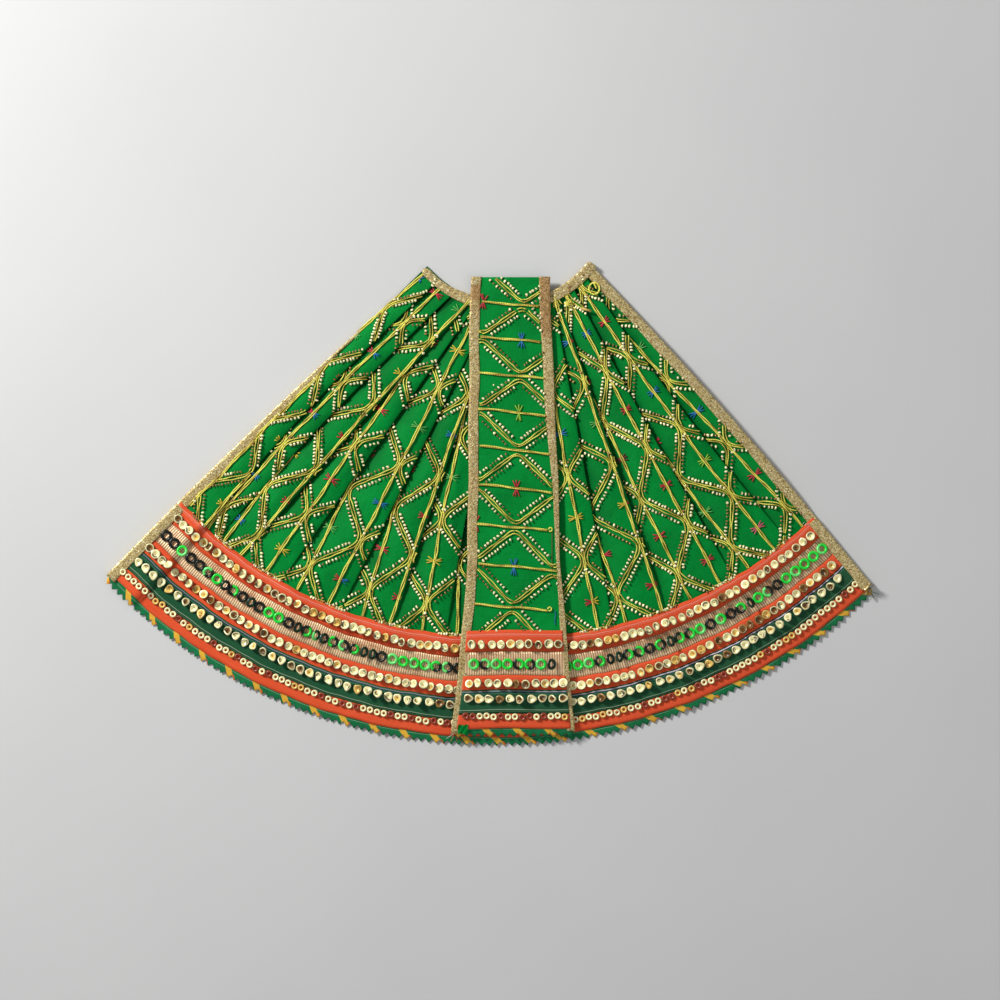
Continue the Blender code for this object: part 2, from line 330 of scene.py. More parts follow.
def pleat_height(pleat, column, way):
    """The height of a pleat's upper side."""
    point = pleat_xy(pleat, column, way)
    crease = limit(pleat, way, 2)
    shown = limit(pleat, way, 3)
    across = float(np.hypot(*(pleat_xy(pleat, crease, way) - point)))
    covered = under_panel(*point)
    top = CREASE_BANDS + (CREASE_WAIST - CREASE_BANDS) * (1 - way ** 5)
    slope = PLEAT_SLOPE * (1 - way ** 4)
    height = top - slope * across
    if across < shown:
        bow = math.sin(math.pi * across / shown)
        swell = PLEAT_SWELL * smooth(shown / 18) * smooth(way * 2.5) * (1 - way ** 14)
        height += swell * bow * (1 - 0.85 * covered)
    height -= FOLD_DIP[0] * math.exp(-across / FOLD_DIP[1]) * (1 - way ** 6)
    height -= VALLEY[0] * math.exp(-abs(shown - across) / VALLEY[1]) * (1 - way ** 6) * (1 - covered)
    settle = smooth((way - 0.8) / 0.2)
    height += settle * (band_ripple(pleat_degrees(pleat, column), 0) - CREASE_BANDS)
    return max(height, LOWEST_PLEAT)


def pleat_point(pleat, column, way):
    return np.array([*pleat_xy(pleat, column, way), pleat_height(pleat, column, way)])


def find_pleat(column, down):
    """The pleat that shows a column at a distance above the bands, and the way there."""
    for pleat in range(len(PLEATS)):
        guide = PLEATS[pleat][0]
        if abs(column - guide) > 2.6:
            continue
        top, bottom = pleat_ends(pleat, column)
        way = 1 - down / np.hypot(*(bottom - top))
        if not -0.012 <= way <= 1.03:
            continue
        inside = min(max(way, 0.0), 1.0)
        if limit(pleat, inside, 1) - 0.03 <= column <= limit(pleat, inside, 2) + 0.005:
            return pleat, inside
    return None


# ---- Where the gores are cut --------------------------------------------------------

# The gores are cut this far inside each hinge.
HINGE_MARGIN = 3.0


def wrap_hinges():
    """For each side, outwards: each hinge's place, its way out, its parent and its child."""
    sides = {"left": [], "right": []}
    for joint in frame["joints"]:
        if "wrap" in joint["name"]:
            side = joint["name"].split("_")[0]
            axis = Vector(joint["axis"][:2]).normalized()
            out = Vector((axis.y, -axis.x))
            if (out.x < 0) != (side == "left"):
                out = -out
            at = Vector(joint["pos_m"][:2]) / MM
            sides[side].append((at, out, joint["parent"], joint["child"]))
    return sides


SIDES = wrap_hinges()
GORES = ["front"] + [f"{side}_{n}" for side in ("left", "right") for n in (1, 2, 3)]


def gore_of(x, y):
    for side, hinges in SIDES.items():
        count = 0
        for place, out, _, _ in hinges:
            if (Vector((x, y)) - place).dot(out) > -HINGE_MARGIN:
                count += 1
            else:
                break
        if count:
            return f"{side}_{count}"
    return "front"


def attach(piece, gore):
    """Hangs the front gore's piece on its body and bakes the others' transforms in place."""
    if gore == "front":
        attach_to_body(piece, "skirt_front")
        return
    side, number = gore.split("_")
    place, out, parent, child = SIDES[side][int(number) - 1]
    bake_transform(piece)


# ---- Mesh making --------------------------------------------------------------------

class Pile:
    """Vertices, faces, tints and cloth coordinates that become one mesh."""

    def __init__(self):
        self.verts, self.faces, self.tints, self.flats = [], [], [], []

    def add(self, verts, faces, tint=(1, 1, 1), flats=None):
        start = len(self.verts)
        self.verts.extend(verts)
        self.faces.extend([[start + i for i in face] for face in faces])
        self.tints.extend([tint] * len(verts) if isinstance(tint, tuple) else tint)
        self.flats.extend(flats if flats is not None else [(v[0], v[1]) for v in verts])

    def build(self, name, material):
        mesh = bpy.data.meshes.new(name)
        mesh.from_pydata([[c * MM for c in v] for v in self.verts], [], self.faces)
        layer = mesh.uv_layers.new(name="cloth")
        order = np.zeros(len(mesh.loops), np.int32)
        mesh.loops.foreach_get("vertex_index", order)
        layer.data.foreach_set("uv", (np.array(self.flats, np.float32)[order] * MM).ravel())
        tint = mesh.color_attributes.new("tint", "FLOAT_COLOR", "POINT")
        colours = np.ones((len(self.verts), 4), np.float32)
        colours[:, :3] = np.array(self.tints, np.float32)
        tint.data.foreach_set("color", colours.ravel())
        mesh.polygons.foreach_set("use_smooth", [True] * len(mesh.polygons))
        mesh.validate()
        mesh.update()
        made = bpy.data.objects.new(name, mesh)
        bpy.context.scene.collection.objects.link(made)
        mesh.materials.append(material)
        return made


def tidy_mesh(mesh):
    distance = MERGE_DISTANCE * MM
    work = bmesh.new()
    work.from_mesh(mesh)
    bmesh.ops.remove_doubles(work, verts=work.verts, dist=distance)
    bmesh.ops.dissolve_degenerate(work, edges=work.edges, dist=distance)
    work.to_mesh(mesh)
    work.free()


def cut_to_gores(whole, prefix):
    """Cuts one object along the hinges' planes and returns {gore: piece}."""
    work = bmesh.new()
    work.from_mesh(whole.data)
    for hinges in SIDES.values():
        for place, out, _, _ in hinges:
            at = (place - out * HINGE_MARGIN) * MM
            bmesh.ops.bisect_plane(
                work, geom=work.verts[:] + work.edges[:] + work.faces[:], dist=1e-7,
                plane_co=(at.x, at.y, 0), plane_no=(out.x, out.y, 0))
    work.to_mesh(whole.data)
    gores = []
    for face in work.faces:
        middle = face.calc_center_median() / MM
        gores.append(gore_of(middle.x, middle.y))
    work.free()
    pieces = {}
    for gore in GORES:
        if gore not in gores:
            continue
        part = bmesh.new()
        part.from_mesh(whole.data)
        part.faces.ensure_lookup_table()
        others = [part.faces[i] for i, g in enumerate(gores) if g != gore]
        bmesh.ops.delete(part, geom=others, context="FACES")
        mesh = bpy.data.meshes.new(f"{prefix}_{gore}")
        part.to_mesh(mesh)
        part.free()
        for material in whole.data.materials:
            mesh.materials.append(material)
        piece = bpy.data.objects.new(f"{prefix}_{gore}", mesh)
        bpy.context.scene.collection.objects.link(piece)
        pieces[gore] = piece
    bpy.data.objects.remove(whole, do_unlink=True)
    return pieces


def grid_faces(rows, columns, closed=False):
    faces = []
    across = columns if closed else columns - 1
    for r in range(rows - 1):
        for c in range(across):
            a = r * columns + c
            b = r * columns + (c + 1) % columns
            faces.append((a, b, b + columns, a + columns))
    return faces


def sweep(points, radius, sides, squash=1.0):
    """A tube along points with flat ends, and its coordinates along and around."""
    path = np.array(points, float)
    steps = np.linalg.norm(np.diff(path, axis=0), axis=1)
    reach = np.concatenate([[0.0], np.cumsum(steps)])
    along = np.gradient(path, axis=0)
    along /= np.linalg.norm(along, axis=1)[:, None] + 1e-9
    side = np.cross(along, (0.0, 0.0, 1.0))
    side /= np.linalg.norm(side, axis=1)[:, None] + 1e-9
    up = np.cross(side, along)
    radii = np.broadcast_to(np.asarray(radius, float), (len(path),))
    turns = np.arange(sides) * 2 * math.pi / sides - math.pi / 2
    ring = (side[:, None, :] * np.cos(turns)[None, :, None]
            + up[:, None, :] * np.sin(turns)[None, :, None] * squash)
    verts = (path[:, None, :] + ring * radii[:, None, None]).reshape(-1, 3)
    faces = [tuple(reversed(f)) for f in grid_faces(len(path), sides, closed=True)]
    faces.append(tuple(range(sides)))
    faces.append(tuple(reversed(range(len(verts) - sides, len(verts)))))
    flats = [(r, k / sides) for r in reach for k in range(sides)]
    return verts.tolist(), faces, flats


def loft(sections):
    """Joins closed cross-sections with the same number of points."""
    count = len(sections[0])
    verts = [p for section in sections for p in section]
    faces = grid_faces(len(sections), count, closed=True)
    faces.append(tuple(reversed(range(count))))
    faces.append(tuple(range(len(verts) - count, len(verts))))
    return verts, faces


def resample(points, step):
    path = np.array(points, float)
    lengths = np.concatenate([[0], np.cumsum(np.linalg.norm(np.diff(path, axis=0), axis=1))])
    count = max(2, int(lengths[-1] / step) + 1)
    places = np.linspace(0, lengths[-1], count)
    return np.stack([np.interp(places, lengths, path[:, i]) for i in range(path.shape[1])], axis=1)


# ---- Materials ----------------------------------------------------------------------

def linear(colour):
    made = []
    for value in colour:
        share = value / 255.0
        made.append(share / 12.92 if share <= 0.04045 else ((share + 0.055) / 1.055) ** 2.4)
    return made


class Shader:
    """A short way to write a node material around one Principled shader."""

    def __init__(self, name, **sockets):
        self.material = bpy.data.materials.new(name)
        self.material.use_nodes = True
        self.tree = self.material.node_tree
        self.shader = self.tree.nodes["Principled BSDF"]
        for key, value in sockets.items():
            self.shader.inputs[key.replace("_", " ")].default_value = value

    def node(self, kind, inputs=(), **settings):
        made = self.tree.nodes.new(kind)
        for key, value in settings.items():
            setattr(made, key, value)
        for key, value in dict(inputs).items():
            if isinstance(value, bpy.types.NodeSocket):
                self.tree.links.new(value, made.inputs[key])
            else:
                made.inputs[key].default_value = value
        return made

    def math(self, operation, first, second=0.0, third=0.0):
        return self.node("ShaderNodeMath", {0: first, 1: second, 2: third},
                         operation=operation).outputs[0]

    def times(self, first, second):
        return self.math("MULTIPLY", first, second)

    def times_plus(self, first, second, third):
        return self.math("MULTIPLY_ADD", first, second, third)

    def flat(self):
        """The cloth coordinates in millimetres: across, then down the cloth."""
        place = self.node("ShaderNodeUVMap", uv_map="cloth").outputs[0]
        parts = self.node("ShaderNodeSeparateXYZ", {0: place})
        return (self.times(parts.outputs[0], 1000.0),
                self.times(parts.outputs[1], 1000.0))

    def noise(self, scale, detail=3.0, rough=0.5, vector=None):
        if vector is None:
            vector = self.node("ShaderNodeTexCoord").outputs["Object"]
        inputs = {"Vector": vector, "Scale": scale, "Detail": detail, "Roughness": rough}
        return self.node("ShaderNodeTexNoise", inputs).outputs[0]

    def ramp(self, value, stops):
        """Blends colours along a value from 0 to 1."""
        made = self.node("ShaderNodeValToRGB", {0: value})
        points = made.color_ramp.elements
        while len(points) < len(stops):
            points.new(0.5)
        for point, (place, colour) in zip(points, stops):
            point.position = place
            point.color = linear(colour) + [1.0]
        return made.outputs[0]

    def mix(self, share, first, second, blend="MIX"):
        made = self.node("ShaderNodeMix", data_type="RGBA", blend_type=blend)
        for index, value in ((0, share), (6, first), (7, second)):
            if isinstance(value, bpy.types.NodeSocket):
                self.tree.links.new(value, made.inputs[index])
            elif index == 0:
                made.inputs[index].default_value = value
            else:
                made.inputs[index].default_value = linear(value) + [1.0]
        return made.outputs[2]

    def tint(self):
        return self.node("ShaderNodeVertexColor", layer_name="tint").outputs[0]

    def wave(self, value, pitch):
        """0 to 1 and back, once every pitch."""
        turned = self.math("SINE", self.times(value, 2 * math.pi / pitch))
        return self.times_plus(turned, 0.5, 0.5)

    def line(self, value, place, width):
        """1 on a line of a width, 0 off it."""
        away = self.math("ABSOLUTE", self.math("SUBTRACT", value, place))
        return self.math("LESS_THAN", away, width / 2)

    def bump(self, height, distance, strength=1.0):
        made = self.node("ShaderNodeBump", {"Height": height, "Distance": distance * MM,
                                            "Strength": strength})
        self.tree.links.new(made.outputs[0], self.shader.inputs["Normal"])

    def finish(self, colour, rough, height, distance):
        """Links the colour, the roughness as (value, spread, least) and the bump."""
        self.tree.links.new(colour, self.shader.inputs["Base Color"])
        self.tree.links.new(self.times_plus(*rough), self.shader.inputs["Roughness"])
        self.bump(height, distance)
        return self.material


def make_satin():
    s = Shader("green_satin", Roughness=0.5, Sheen_Weight=0.03, Sheen_Roughness=0.4)
    s.shader.inputs["Specular IOR Level"].default_value = 0.05
    s.shader.inputs["Sheen Tint"].default_value = linear((60, 220, 130)) + [1.0]
    across, down = s.flat()
    warp, weft = s.wave(across, 0.34), s.wave(down, 0.26)
    weave = s.times(warp, weft)
    # Broad mottling: partly the cloth's random tone, partly painted shade of soft waves in the cloth.
    broad = s.noise(38.0, 4.0, 0.6)
    slubs = s.node("ShaderNodeCombineXYZ", {0: s.times(across, 0.9),
                                            1: s.times(down, 0.06)}).outputs[0]
    threads = s.noise(1.6, 2.0, 0.5, slubs)
    colour = s.ramp(broad, ((0.25, (0, 108, 40)), (0.5, (0, 134, 50)), (0.8, (0, 152, 60))))
    colour = s.mix(s.times(threads, 0.3), colour, (0, 100, 38))
    colour = s.mix(s.times(weave, 0.14), colour, (0, 170, 76))
    # The tint multiplies in painted shade: the skirt's fold valleys and the cloth folded under its pleats.
    colour = s.mix(1.0, colour, s.tint(), "MULTIPLY")
    pucker = s.noise(210.0, 3.0, 0.55)
    height = s.times_plus(weave, 0.12, s.times(pucker, 0.9))
    return s.finish(colour, (broad, 0.2, 0.4), height, 0.45)


def make_tape():
    s = Shader("gold_tape", Metallic=0.45)
    across, down = s.flat()
    place = s.node("ShaderNodeTexCoord").outputs["Object"]
    speck = s.node("ShaderNodeTexVoronoi", {"Vector": place, "Scale": 2100.0})
    glint = s.node("ShaderNodeSeparateXYZ", {0: speck.outputs["Color"]}).outputs[0]
    broad = s.noise(55.0, 3.0, 0.6)
    fine = s.noise(900.0, 2.0, 0.7)
    colour = s.ramp(glint, ((0.0, (104, 84, 40)), (0.28, (184, 160, 98)), (0.6, (216, 194, 128)),
                            (0.85, (242, 224, 164)), (1.0, (255, 250, 214))))
    colour = s.mix(s.times(broad, 0.4), colour, (168, 138, 84))
    edge = s.wave(s.math("ADD", across, down), 0.8)
    colour = s.mix(s.times(edge, 0.12), colour, (120, 96, 62))
    colour = s.mix(1.0, colour, s.tint(), "MULTIPLY")
    return s.finish(colour, (glint, -0.25, 0.55), s.math("ADD", glint, fine), 0.16)


LILAC = (222, 206, 222)


def make_ribbon(name, base, dark, light, lines=()):
    """A ribbon woven along its length, with fine lines, and pale lines at given places."""
    s = Shader(name, Sheen_Weight=0.04, Specular_IOR_Level=0.2)
    along, share = s.flat()
    broad = s.noise(60.0, 3.0, 0.6)
    cords = s.wave(share, 0.62)
    fine = s.wave(along, 0.36)
    stretch = s.node("ShaderNodeCombineXYZ", {0: s.times(along, 0.03),
                                              1: s.times(share, 1.3)}).outputs[0]
    streak = s.noise(1.0, 3.0, 0.6, stretch)
    colour = s.mix(broad, dark, base)
    colour = s.mix(s.times(streak, 0.45), colour, light)
    colour = s.mix(s.times(cords, 0.13), colour, dark)
    for place, width, tone in lines:
        strength = 0.8
        # The lilac border line is partly a pale thread and partly a painted highlight that grows brighter
        # towards the right end.
        if tone == LILAC:
            strength = s.times_plus(s.math("SMOOTH_MAX", along, 0.0, 40.0), 0.006, 0.25)
            strength = s.math("MINIMUM", strength, 1.0)
        colour = s.mix(s.times(s.line(share, place, width), strength), colour, tone)
    height = s.times_plus(broad, 2.0, s.times_plus(fine, 0.4, cords))
    return s.finish(colour, (streak, 0.25, 0.36), height, 0.1)


def make_copper():
    s = Shader("copper_tissue", Metallic=0.35)
    along, share = s.flat()
    ribs = s.wave(along, 1.35)
    broad = s.noise(70.0, 3.0, 0.65)
    speck = s.noise(1500.0, 2.0, 0.6)
    patch = s.math("GREATER_THAN", s.times_plus(speck, 0.25, broad), 0.56)
    colour = s.mix(broad, (156, 90, 52), (194, 128, 80))
    edge = s.math("ABSOLUTE", s.math("SUBTRACT", share, 6.2))
    edge = s.math("GREATER_THAN", s.times_plus(broad, 2.4, edge), 5.6)
    pale = s.math("ADD", s.times(patch, 0.45), s.times_plus(edge, 0.35, 0.35))
    sharp = s.math("SMOOTH_MIN", s.times(ribs, 1.6), 1.0, 0.2)
    colour = s.mix(s.times(sharp, pale), colour, (255, 228, 180))
    colour = s.mix(s.times(speck, 0.3), colour, (110, 66, 36))
    return s.finish(colour, (speck, 0.3, 0.3), s.times_plus(ribs, 1.0, speck), 0.14)


def make_frill():
    s = Shader("pinked_green", Sheen_Weight=0.04, Specular_IOR_Level=0.2)
    along, share = s.flat()
    slant = s.math("ADD", along, s.times(share, -0.85))
    turn = s.math("FRACT", s.math("DIVIDE", slant, STRIPE_PITCH))
    stripe = s.math("LESS_THAN", turn, 0.235)
    fringe = s.times(s.math("GREATER_THAN", turn, 0.235),
                    s.math("LESS_THAN", turn, 0.29))
    tip = s.math("GREATER_THAN", share, 3.6)
    broad = s.noise(80.0, 3.0, 0.6)
    colour = s.mix(broad, (0, 92, 50), (8, 132, 74))
    colour = s.mix(s.times(s.line(share, 2.0, 0.35), 0.5), colour, (150, 190, 150))
    colour = s.mix(stripe, colour, s.mix(broad, (214, 150, 40), (246, 200, 66)))
    colour = s.mix(s.times(fringe, tip), colour, (206, 96, 40))
    weave = s.times(s.wave(along, 0.4), s.wave(share, 0.4))
    return s.finish(colour, (broad, 0.2, 0.5), s.times_plus(broad, 2.0, weave), 0.1)


def make_tinted(name, metallic, roughness, spread, bump, scale):
    """A material that takes each piece's own tint, varied by a fine noise."""
    s = Shader(name, Metallic=metallic)
    fine = s.noise(scale, 2.0, 0.6)
    dark = s.mix(1.0, s.tint(), (150, 128, 104), "MULTIPLY")
    colour = s.mix(s.times(fine, spread), s.tint(), dark)
    return s.finish(colour, (fine, 0.25, roughness), fine, bump)


def make_cord():
    """Metallic thread: fine slanting plies along a strand, with painted shade between them."""
    s = Shader("gold_cord", Metallic=0.05)
    along, around = s.flat()
    turn = s.times_plus(around, 0.001, s.math("DIVIDE", along, 0.95))
    ply = s.wave(turn, 1.0)
    fine = s.noise(900.0, 2.0, 0.6)
    dark = s.mix(1.0, s.tint(), (120, 116, 50), "MULTIPLY")
    shade = s.times_plus(ply, 0.3, s.times(fine, 0.2))
    return s.finish(s.mix(shade, s.tint(), dark), (fine, 0.2, 0.28), ply, 0.12)


SATIN = make_satin()
GOLD_TAPE = make_tape()
RED_TONES = ((236, 80, 34), (206, 48, 14), (250, 128, 72))
GREEN_TONES = ((14, 80, 44), (8, 58, 32), (34, 110, 66))
# The top ribbon's pale lines below its rolled edge are partly its piping threads and partly a painted
# highlight along the roll.
RED_TOP = make_ribbon("red_ribbon_top", *RED_TONES, lines=((2.3, 0.5, (240, 150, 132)),
                                                           (3.3, 0.4, (232, 120, 96))))
RED_PLAIN = make_ribbon("red_ribbon", *RED_TONES)
DARK_GREEN = make_ribbon("dark_green_ribbon", *GREEN_TONES,
                         lines=((1.0, 0.55, LILAC), (1.5, 0.35, (24, 34, 90)), (2.4, 0.3, (70, 116, 92)),
                                (11.2, 0.35, (150, 170, 140)), (12.2, 0.3, (96, 130, 96))))
COPPER_TISSUE = make_copper()
PINKED = make_frill()
CORD = make_cord()
FOIL = make_tinted("sequin_foil", 0.08, 0.16, 0.22, 0.03, 900.0)
THREAD = make_tinted("star_thread", 0.0, 0.45, 0.5, 0.1, 1400.0)

GOLD, CREAM, STRAW, BROWN, NEON, MINT, BOTTLE, INK, OLIVE, UMBER, RUST, BRONZE = (
    tuple(linear(colour)) for colour in (
        (255, 246, 104), (255, 246, 186), (236, 196, 104), (124, 88, 40), (30, 226, 62),
        (110, 240, 120), (6, 60, 40), (3, 20, 10), (176, 150, 44), (44, 30, 18),
        (150, 66, 44), (170, 130, 66)))


# ---- Skirt cloth --------------------------------------------------------------------

def build_skirt_cloth():
    """One pleated surface with painted shade in its folds, then seven pieces of it."""
    ways = np.concatenate([np.linspace(-0.01, 0.9, 84), np.linspace(0.912, 1.0, 12)])
    rows, flats, tints = [], [], []
    for way in ways:
        row, flat = [], []
        inside = min(max(way, 0.0), 1.0)
        for pleat in range(len(PLEATS)):
            inner, start, crease, _ = (limit(pleat, inside, i) for i in range(4))
            chain = []
            if pleat:
                before = row[-1]
                hidden = pleat_point(pleat, inner, way)
                for share in (0.12, 0.5, 0.88):
                    middle = before + (hidden - before) * share
                    middle[2] -= 0.25 * math.sin(math.pi * share) * (1 - inside ** 6)
                    row.append(middle)
                    flat.append((flat[-1][0], CLOTH_DROP * way))
                    # Painted shade: the cloth folded under a pleat is darkened.
                    tints.append((0.4, 0.5, 0.55))
                chain = list(np.linspace(inner, start, 5)[:-1])
            shown = np.linspace(0, 1, 15)
            chain += [start + (crease - start) * s for s in shown[:-1]]
            chain += [crease - 0.02 * (crease - start), crease]
            for column in chain:
                row.append(pleat_point(pleat, column, way))
                flat.append((column * COLUMN_PITCH, CLOTH_DROP * way))
                # Painted shade: darker where a pleat comes out from under its neighbour, and in a thin
                # line along its own fold.
                gone = max(0.0, column - start) * COLUMN_PITCH if pleat else 20.0
                valley = 0.74 * math.exp(-gone / 4.2) * (1 - inside ** 10)
                near_edge = max(0.0, crease - column) * COLUMN_PITCH
                valley = max(valley, 0.4 * math.exp(-near_edge / 0.6) * (1 - inside ** 10))
                tints.append((1 - valley, 1 - 0.85 * valley, 1 - 0.8 * valley))
        rows.append(row)
        flats.append(flat)
    degrees = np.maximum.accumulate([hem_degrees(p) for p in rows[-1]])
    first, last = degrees[0], degrees[-1]
    for share in (0.02, 0.06, 0.15, 0.3, 0.45, 0.6, 0.75, 0.9):
        row, flat = [], []
        low, high = edge_degrees(0, share) + 0.25, edge_degrees(1, share) - 0.25
        for index, angle in enumerate(degrees):
            moved = low + (angle - first) / (last - first) * (high - low)
            x, y = band_xy(moved, share)
            row.append(np.array([x, y, band_ripple(moved, share) - 0.15 * smooth(share * 10)]))
            tints.append((1, 1, 1))
            flat.append((flats[-1][index][0], CLOTH_DROP + BANDS_DEPTH * share))
        rows.append(row)
        flats.append(flat)
    pile = Pile()
    lowered = [(p[0], p[1], max(p[2] - UNDER_TRIM, 0.04)) for row in rows for p in row]
    pile.add(lowered, grid_faces(len(rows), len(rows[0])), tints,
             flats=[f for flat in flats for f in flat])
    whole = pile.build("skirt_cloth", SATIN)
    tidy_mesh(whole.data)
    return cut_to_gores(whole, "skirt_cloth")


# ---- Tapes --------------------------------------------------------------------------

def tape_section(inner, outer, low, high, down, rounding=0.35):
    """A flat folded tape's cross-section, as points and cloth coordinates."""
    inner, outer = np.array(inner), np.array(outer)
    run = outer - inner
    width = float(np.hypot(*run))
    unit = run / width
    profile = (
        (0.0, low + 0.3), (rounding, low), (width / 2, low), (width - rounding, low),
        (width, low + 0.3), (width, high - 0.3), (width - rounding, high - 0.04),
        (width * 0.75, high), (width / 2, high + 0.05), (width * 0.25, high),
        (rounding, high - 0.04), (0.0, high - 0.25))
    points, flats = [], []
    for across, height in profile:
        x, y = inner + unit * across
        points.append((x, y, height))
        flats.append((across, down))
    return points, flats


def tape_mesh(name, sections, tints=None):
    """A tape from its cross-sections, with a tint for each, browner in places."""
    pile = Pile()
    verts, faces = loft([s[0] for s in sections])
    shades = (1, 1, 1)
    if tints:
        shades = [tint for tint, s in zip(tints, sections) for _ in s[0]]
    pile.add(verts, faces, shades, flats=[f for s in sections for f in s[1]])
    return pile.build(name, GOLD_TAPE)


def build_waist_tape():
    low, high = EDGES[0][0] - 1.6, EDGES[1][0] + 1.6
    sections = []
    for degrees in np.arange(low, high + 0.01, 0.5):
        end = min(degrees - low, high - degrees)
        narrow = 2.6 * (1 - math.sqrt(max(0.0, 1 - (1 - min(end / 2.5, 1.0)) ** 2)))
        ripple = 0.16 * math.sin(degrees * 1.9) + 0.1 * math.sin(degrees * 4.3 + 2)
        trimmed = 1.5 * smooth((-20 - degrees) / 20)
        inner = arc(WAIST_CENTRE, WAIST_RADIUS - TAPE / 2 + narrow + trimmed, degrees)
        outer = arc(WAIST_CENTRE, WAIST_RADIUS + TAPE / 2 - narrow, degrees)
        top = CREASE_WAIST + 0.45 + ripple * 0.6
        sections.append(tape_section(inner, outer, 0.2, top, degrees, 0.3))
    whole = tape_mesh("waist_tape", sections)
    return cut_to_gores(whole, "waist_tape")


def edge_height(side, way, width=0.0):
    """The height of the cloth, or of the ribbons on it, along an outer edge. With a width,
    the highest point of the strip inside the edge."""
    bands = EDGE_BAND_WAY[side]
    if way < bands:
        pleat = -side % len(PLEATS)
        column = limit(pleat, way / bands, 1 + side) + (0.1 if side == 0 else -0.1)
        reach = width / COLUMN_PITCH * (1 if side == 0 else -1)
        spots = [column + reach * part for part in (0.0, 0.4, 0.8, 1.2)]
        return max(pleat_height(pleat, spot, way / bands) for spot in spots)
    point = edge_xy(side, way)
    degrees = hem_degrees(point)
    top = band_radius(degrees, 0)
    share = (hem_reach(point) - top) / (band_radius(degrees, 1) - top)
    return band_ripple(degrees, share) + 0.85 * smooth((way - bands) / 0.015)


def build_edge_tape(side):
    """Binds one side of the fan. The upper part of the left one is turned under."""
    sections = []
    end = 0.985 if side == 0 else 0.975
    for way in np.linspace(0.004, end, 120):
        width = tape_width(side, way)
        turned = smooth((0.24 - way) / 0.08) * (1 - side)
        edge, along, inward = edge_frame(side, way)
        high = edge_height(side, way, width) + 0.45 + 0.12 * math.sin(way * 23)
        high -= turned * 1.4
        if side == 1:
            high += 1.0 * smooth((way - 0.93) / 0.045)
            width += 0.8 * smooth((way - 0.93) / 0.045)
        sections.append(tape_section(edge + inward * width, edge - inward * 0.2, 0.15, high,
                                     way * 250))
    if side == 1:
        for turn in np.radians(range(15, 200, 20)):
            spot = edge + along * CURL_RADIUS * math.sin(turn)
            top = high + CURL_RADIUS * (1 - math.cos(turn))
            sections.append(tape_section(spot + inward * (width - 1.4 * turn), spot - inward * 0.2,
                                         top - 0.7, top, 250 + 2 * turn))
    return tape_mesh(("left", "right")[side] + "_edge_tape_piece", sections)


# ---- Hem bands ----------------------------------------------------------------------

RIBBON_STEPS = 230
RIBBON_ROWS = 7
RIBBON_THICK = 0.32
FRILL_THICK = 0.3
# The radius at which the bands' and the frill's lengths are measured.
BANDS_MIDDLE = 265
FRILL_MIDDLE = 290


def slab(name, material, sections):
    """One thin closed strip from cross-sections of (point, cloth coordinates)."""
    pile = Pile()
    verts, faces = loft([[p[0] for p in s] for s in sections])
    pile.add(verts, faces, flats=[p[1] for s in sections for p in s])
    return pile.build(name, material)


def ribbon_crown(row, rolled):
    """A ribbon's thickness at one of its rows. A rolled edge is thicker."""
    crown = RIBBON_THICK * (1 - abs(2 * row / (RIBBON_ROWS - 1) - 1) ** 6 * 0.7)
    return crown + rolled if row < 2 else crown


def build_ribbon(name, material, shares, lift, rolled):
    """A ribbon along the bands, as a thin closed slab."""
    low, high = shares
    sections = []
    for i in range(RIBBON_STEPS + 1):
        upper, lower = [], []
        for j in range(RIBBON_ROWS):
            share = low + (high - low) * j / (RIBBON_ROWS - 1)
            left, right = edge_degrees(0, share) + 0.3, edge_degrees(1, share) - 0.3
            degrees = left + (right - left) * i / RIBBON_STEPS
            jog = 0.012 * smooth((-42.1 - degrees) / 0.4)
            waver = 0.0035 * math.sin(degrees * 0.9) + 0.002 * math.sin(degrees * 2.3 + lift)
            x, y = band_xy(degrees, share - jog + waver)
            base = band_ripple(degrees, share) + lift
            flat = (math.radians(degrees) * BANDS_MIDDLE, (share - low) * BANDS_DEPTH)
            upper.append(((x, y, base + ribbon_crown(j, rolled)), flat))
            lower.append(((x, y, base), flat))
        sections.append(upper + lower[::-1])
    return cut_to_gores(slab(name, material, sections), name)


def build_frill():
    """A pinked strip under the lowest ribbon: teeth a few millimetres apart."""
    left, right = edge_degrees(0, 1.0) + 0.2, edge_degrees(1, 1.0) - 0.2
    length = math.radians(right - left) * HEM_RADIUS
    teeth = int(length / TOOTH_PITCH)
    depth = TOOTH_DEPTH / BANDS_DEPTH
    sections = []
    for i in range(2 * teeth + 1):
        degrees = left + (right - left) * i / (2 * teeth)
        tip = 1.0 if i % 2 else 1.0 - depth
        flutter = 0.25 * math.sin(i * 0.31) + 0.2 * math.sin(i * 0.83 + 1) + RNG.uniform(-0.1, 0.1)
        upper, lower = [], []
        for j in range(5):
            share = FRILL[0] + (tip - FRILL[0]) * j / 4
            x, y = band_xy(degrees, share)
            base = band_ripple(degrees, share) * (1 - 0.45 * j / 4) - 0.1 + flutter * (j / 4) ** 2
            base = max(base, 0.15)
            flat = (math.radians(degrees) * FRILL_MIDDLE, (share - FRILL[0]) * BANDS_DEPTH)
            upper.append(((x, y, base + FRILL_THICK), flat))
            lower.append(((x, y, base), flat))
        sections.append(upper + lower[::-1])
    return cut_to_gores(slab("frill", PINKED, sections), "frill")


# ---- Small trim ---------------------------------------------------------------------

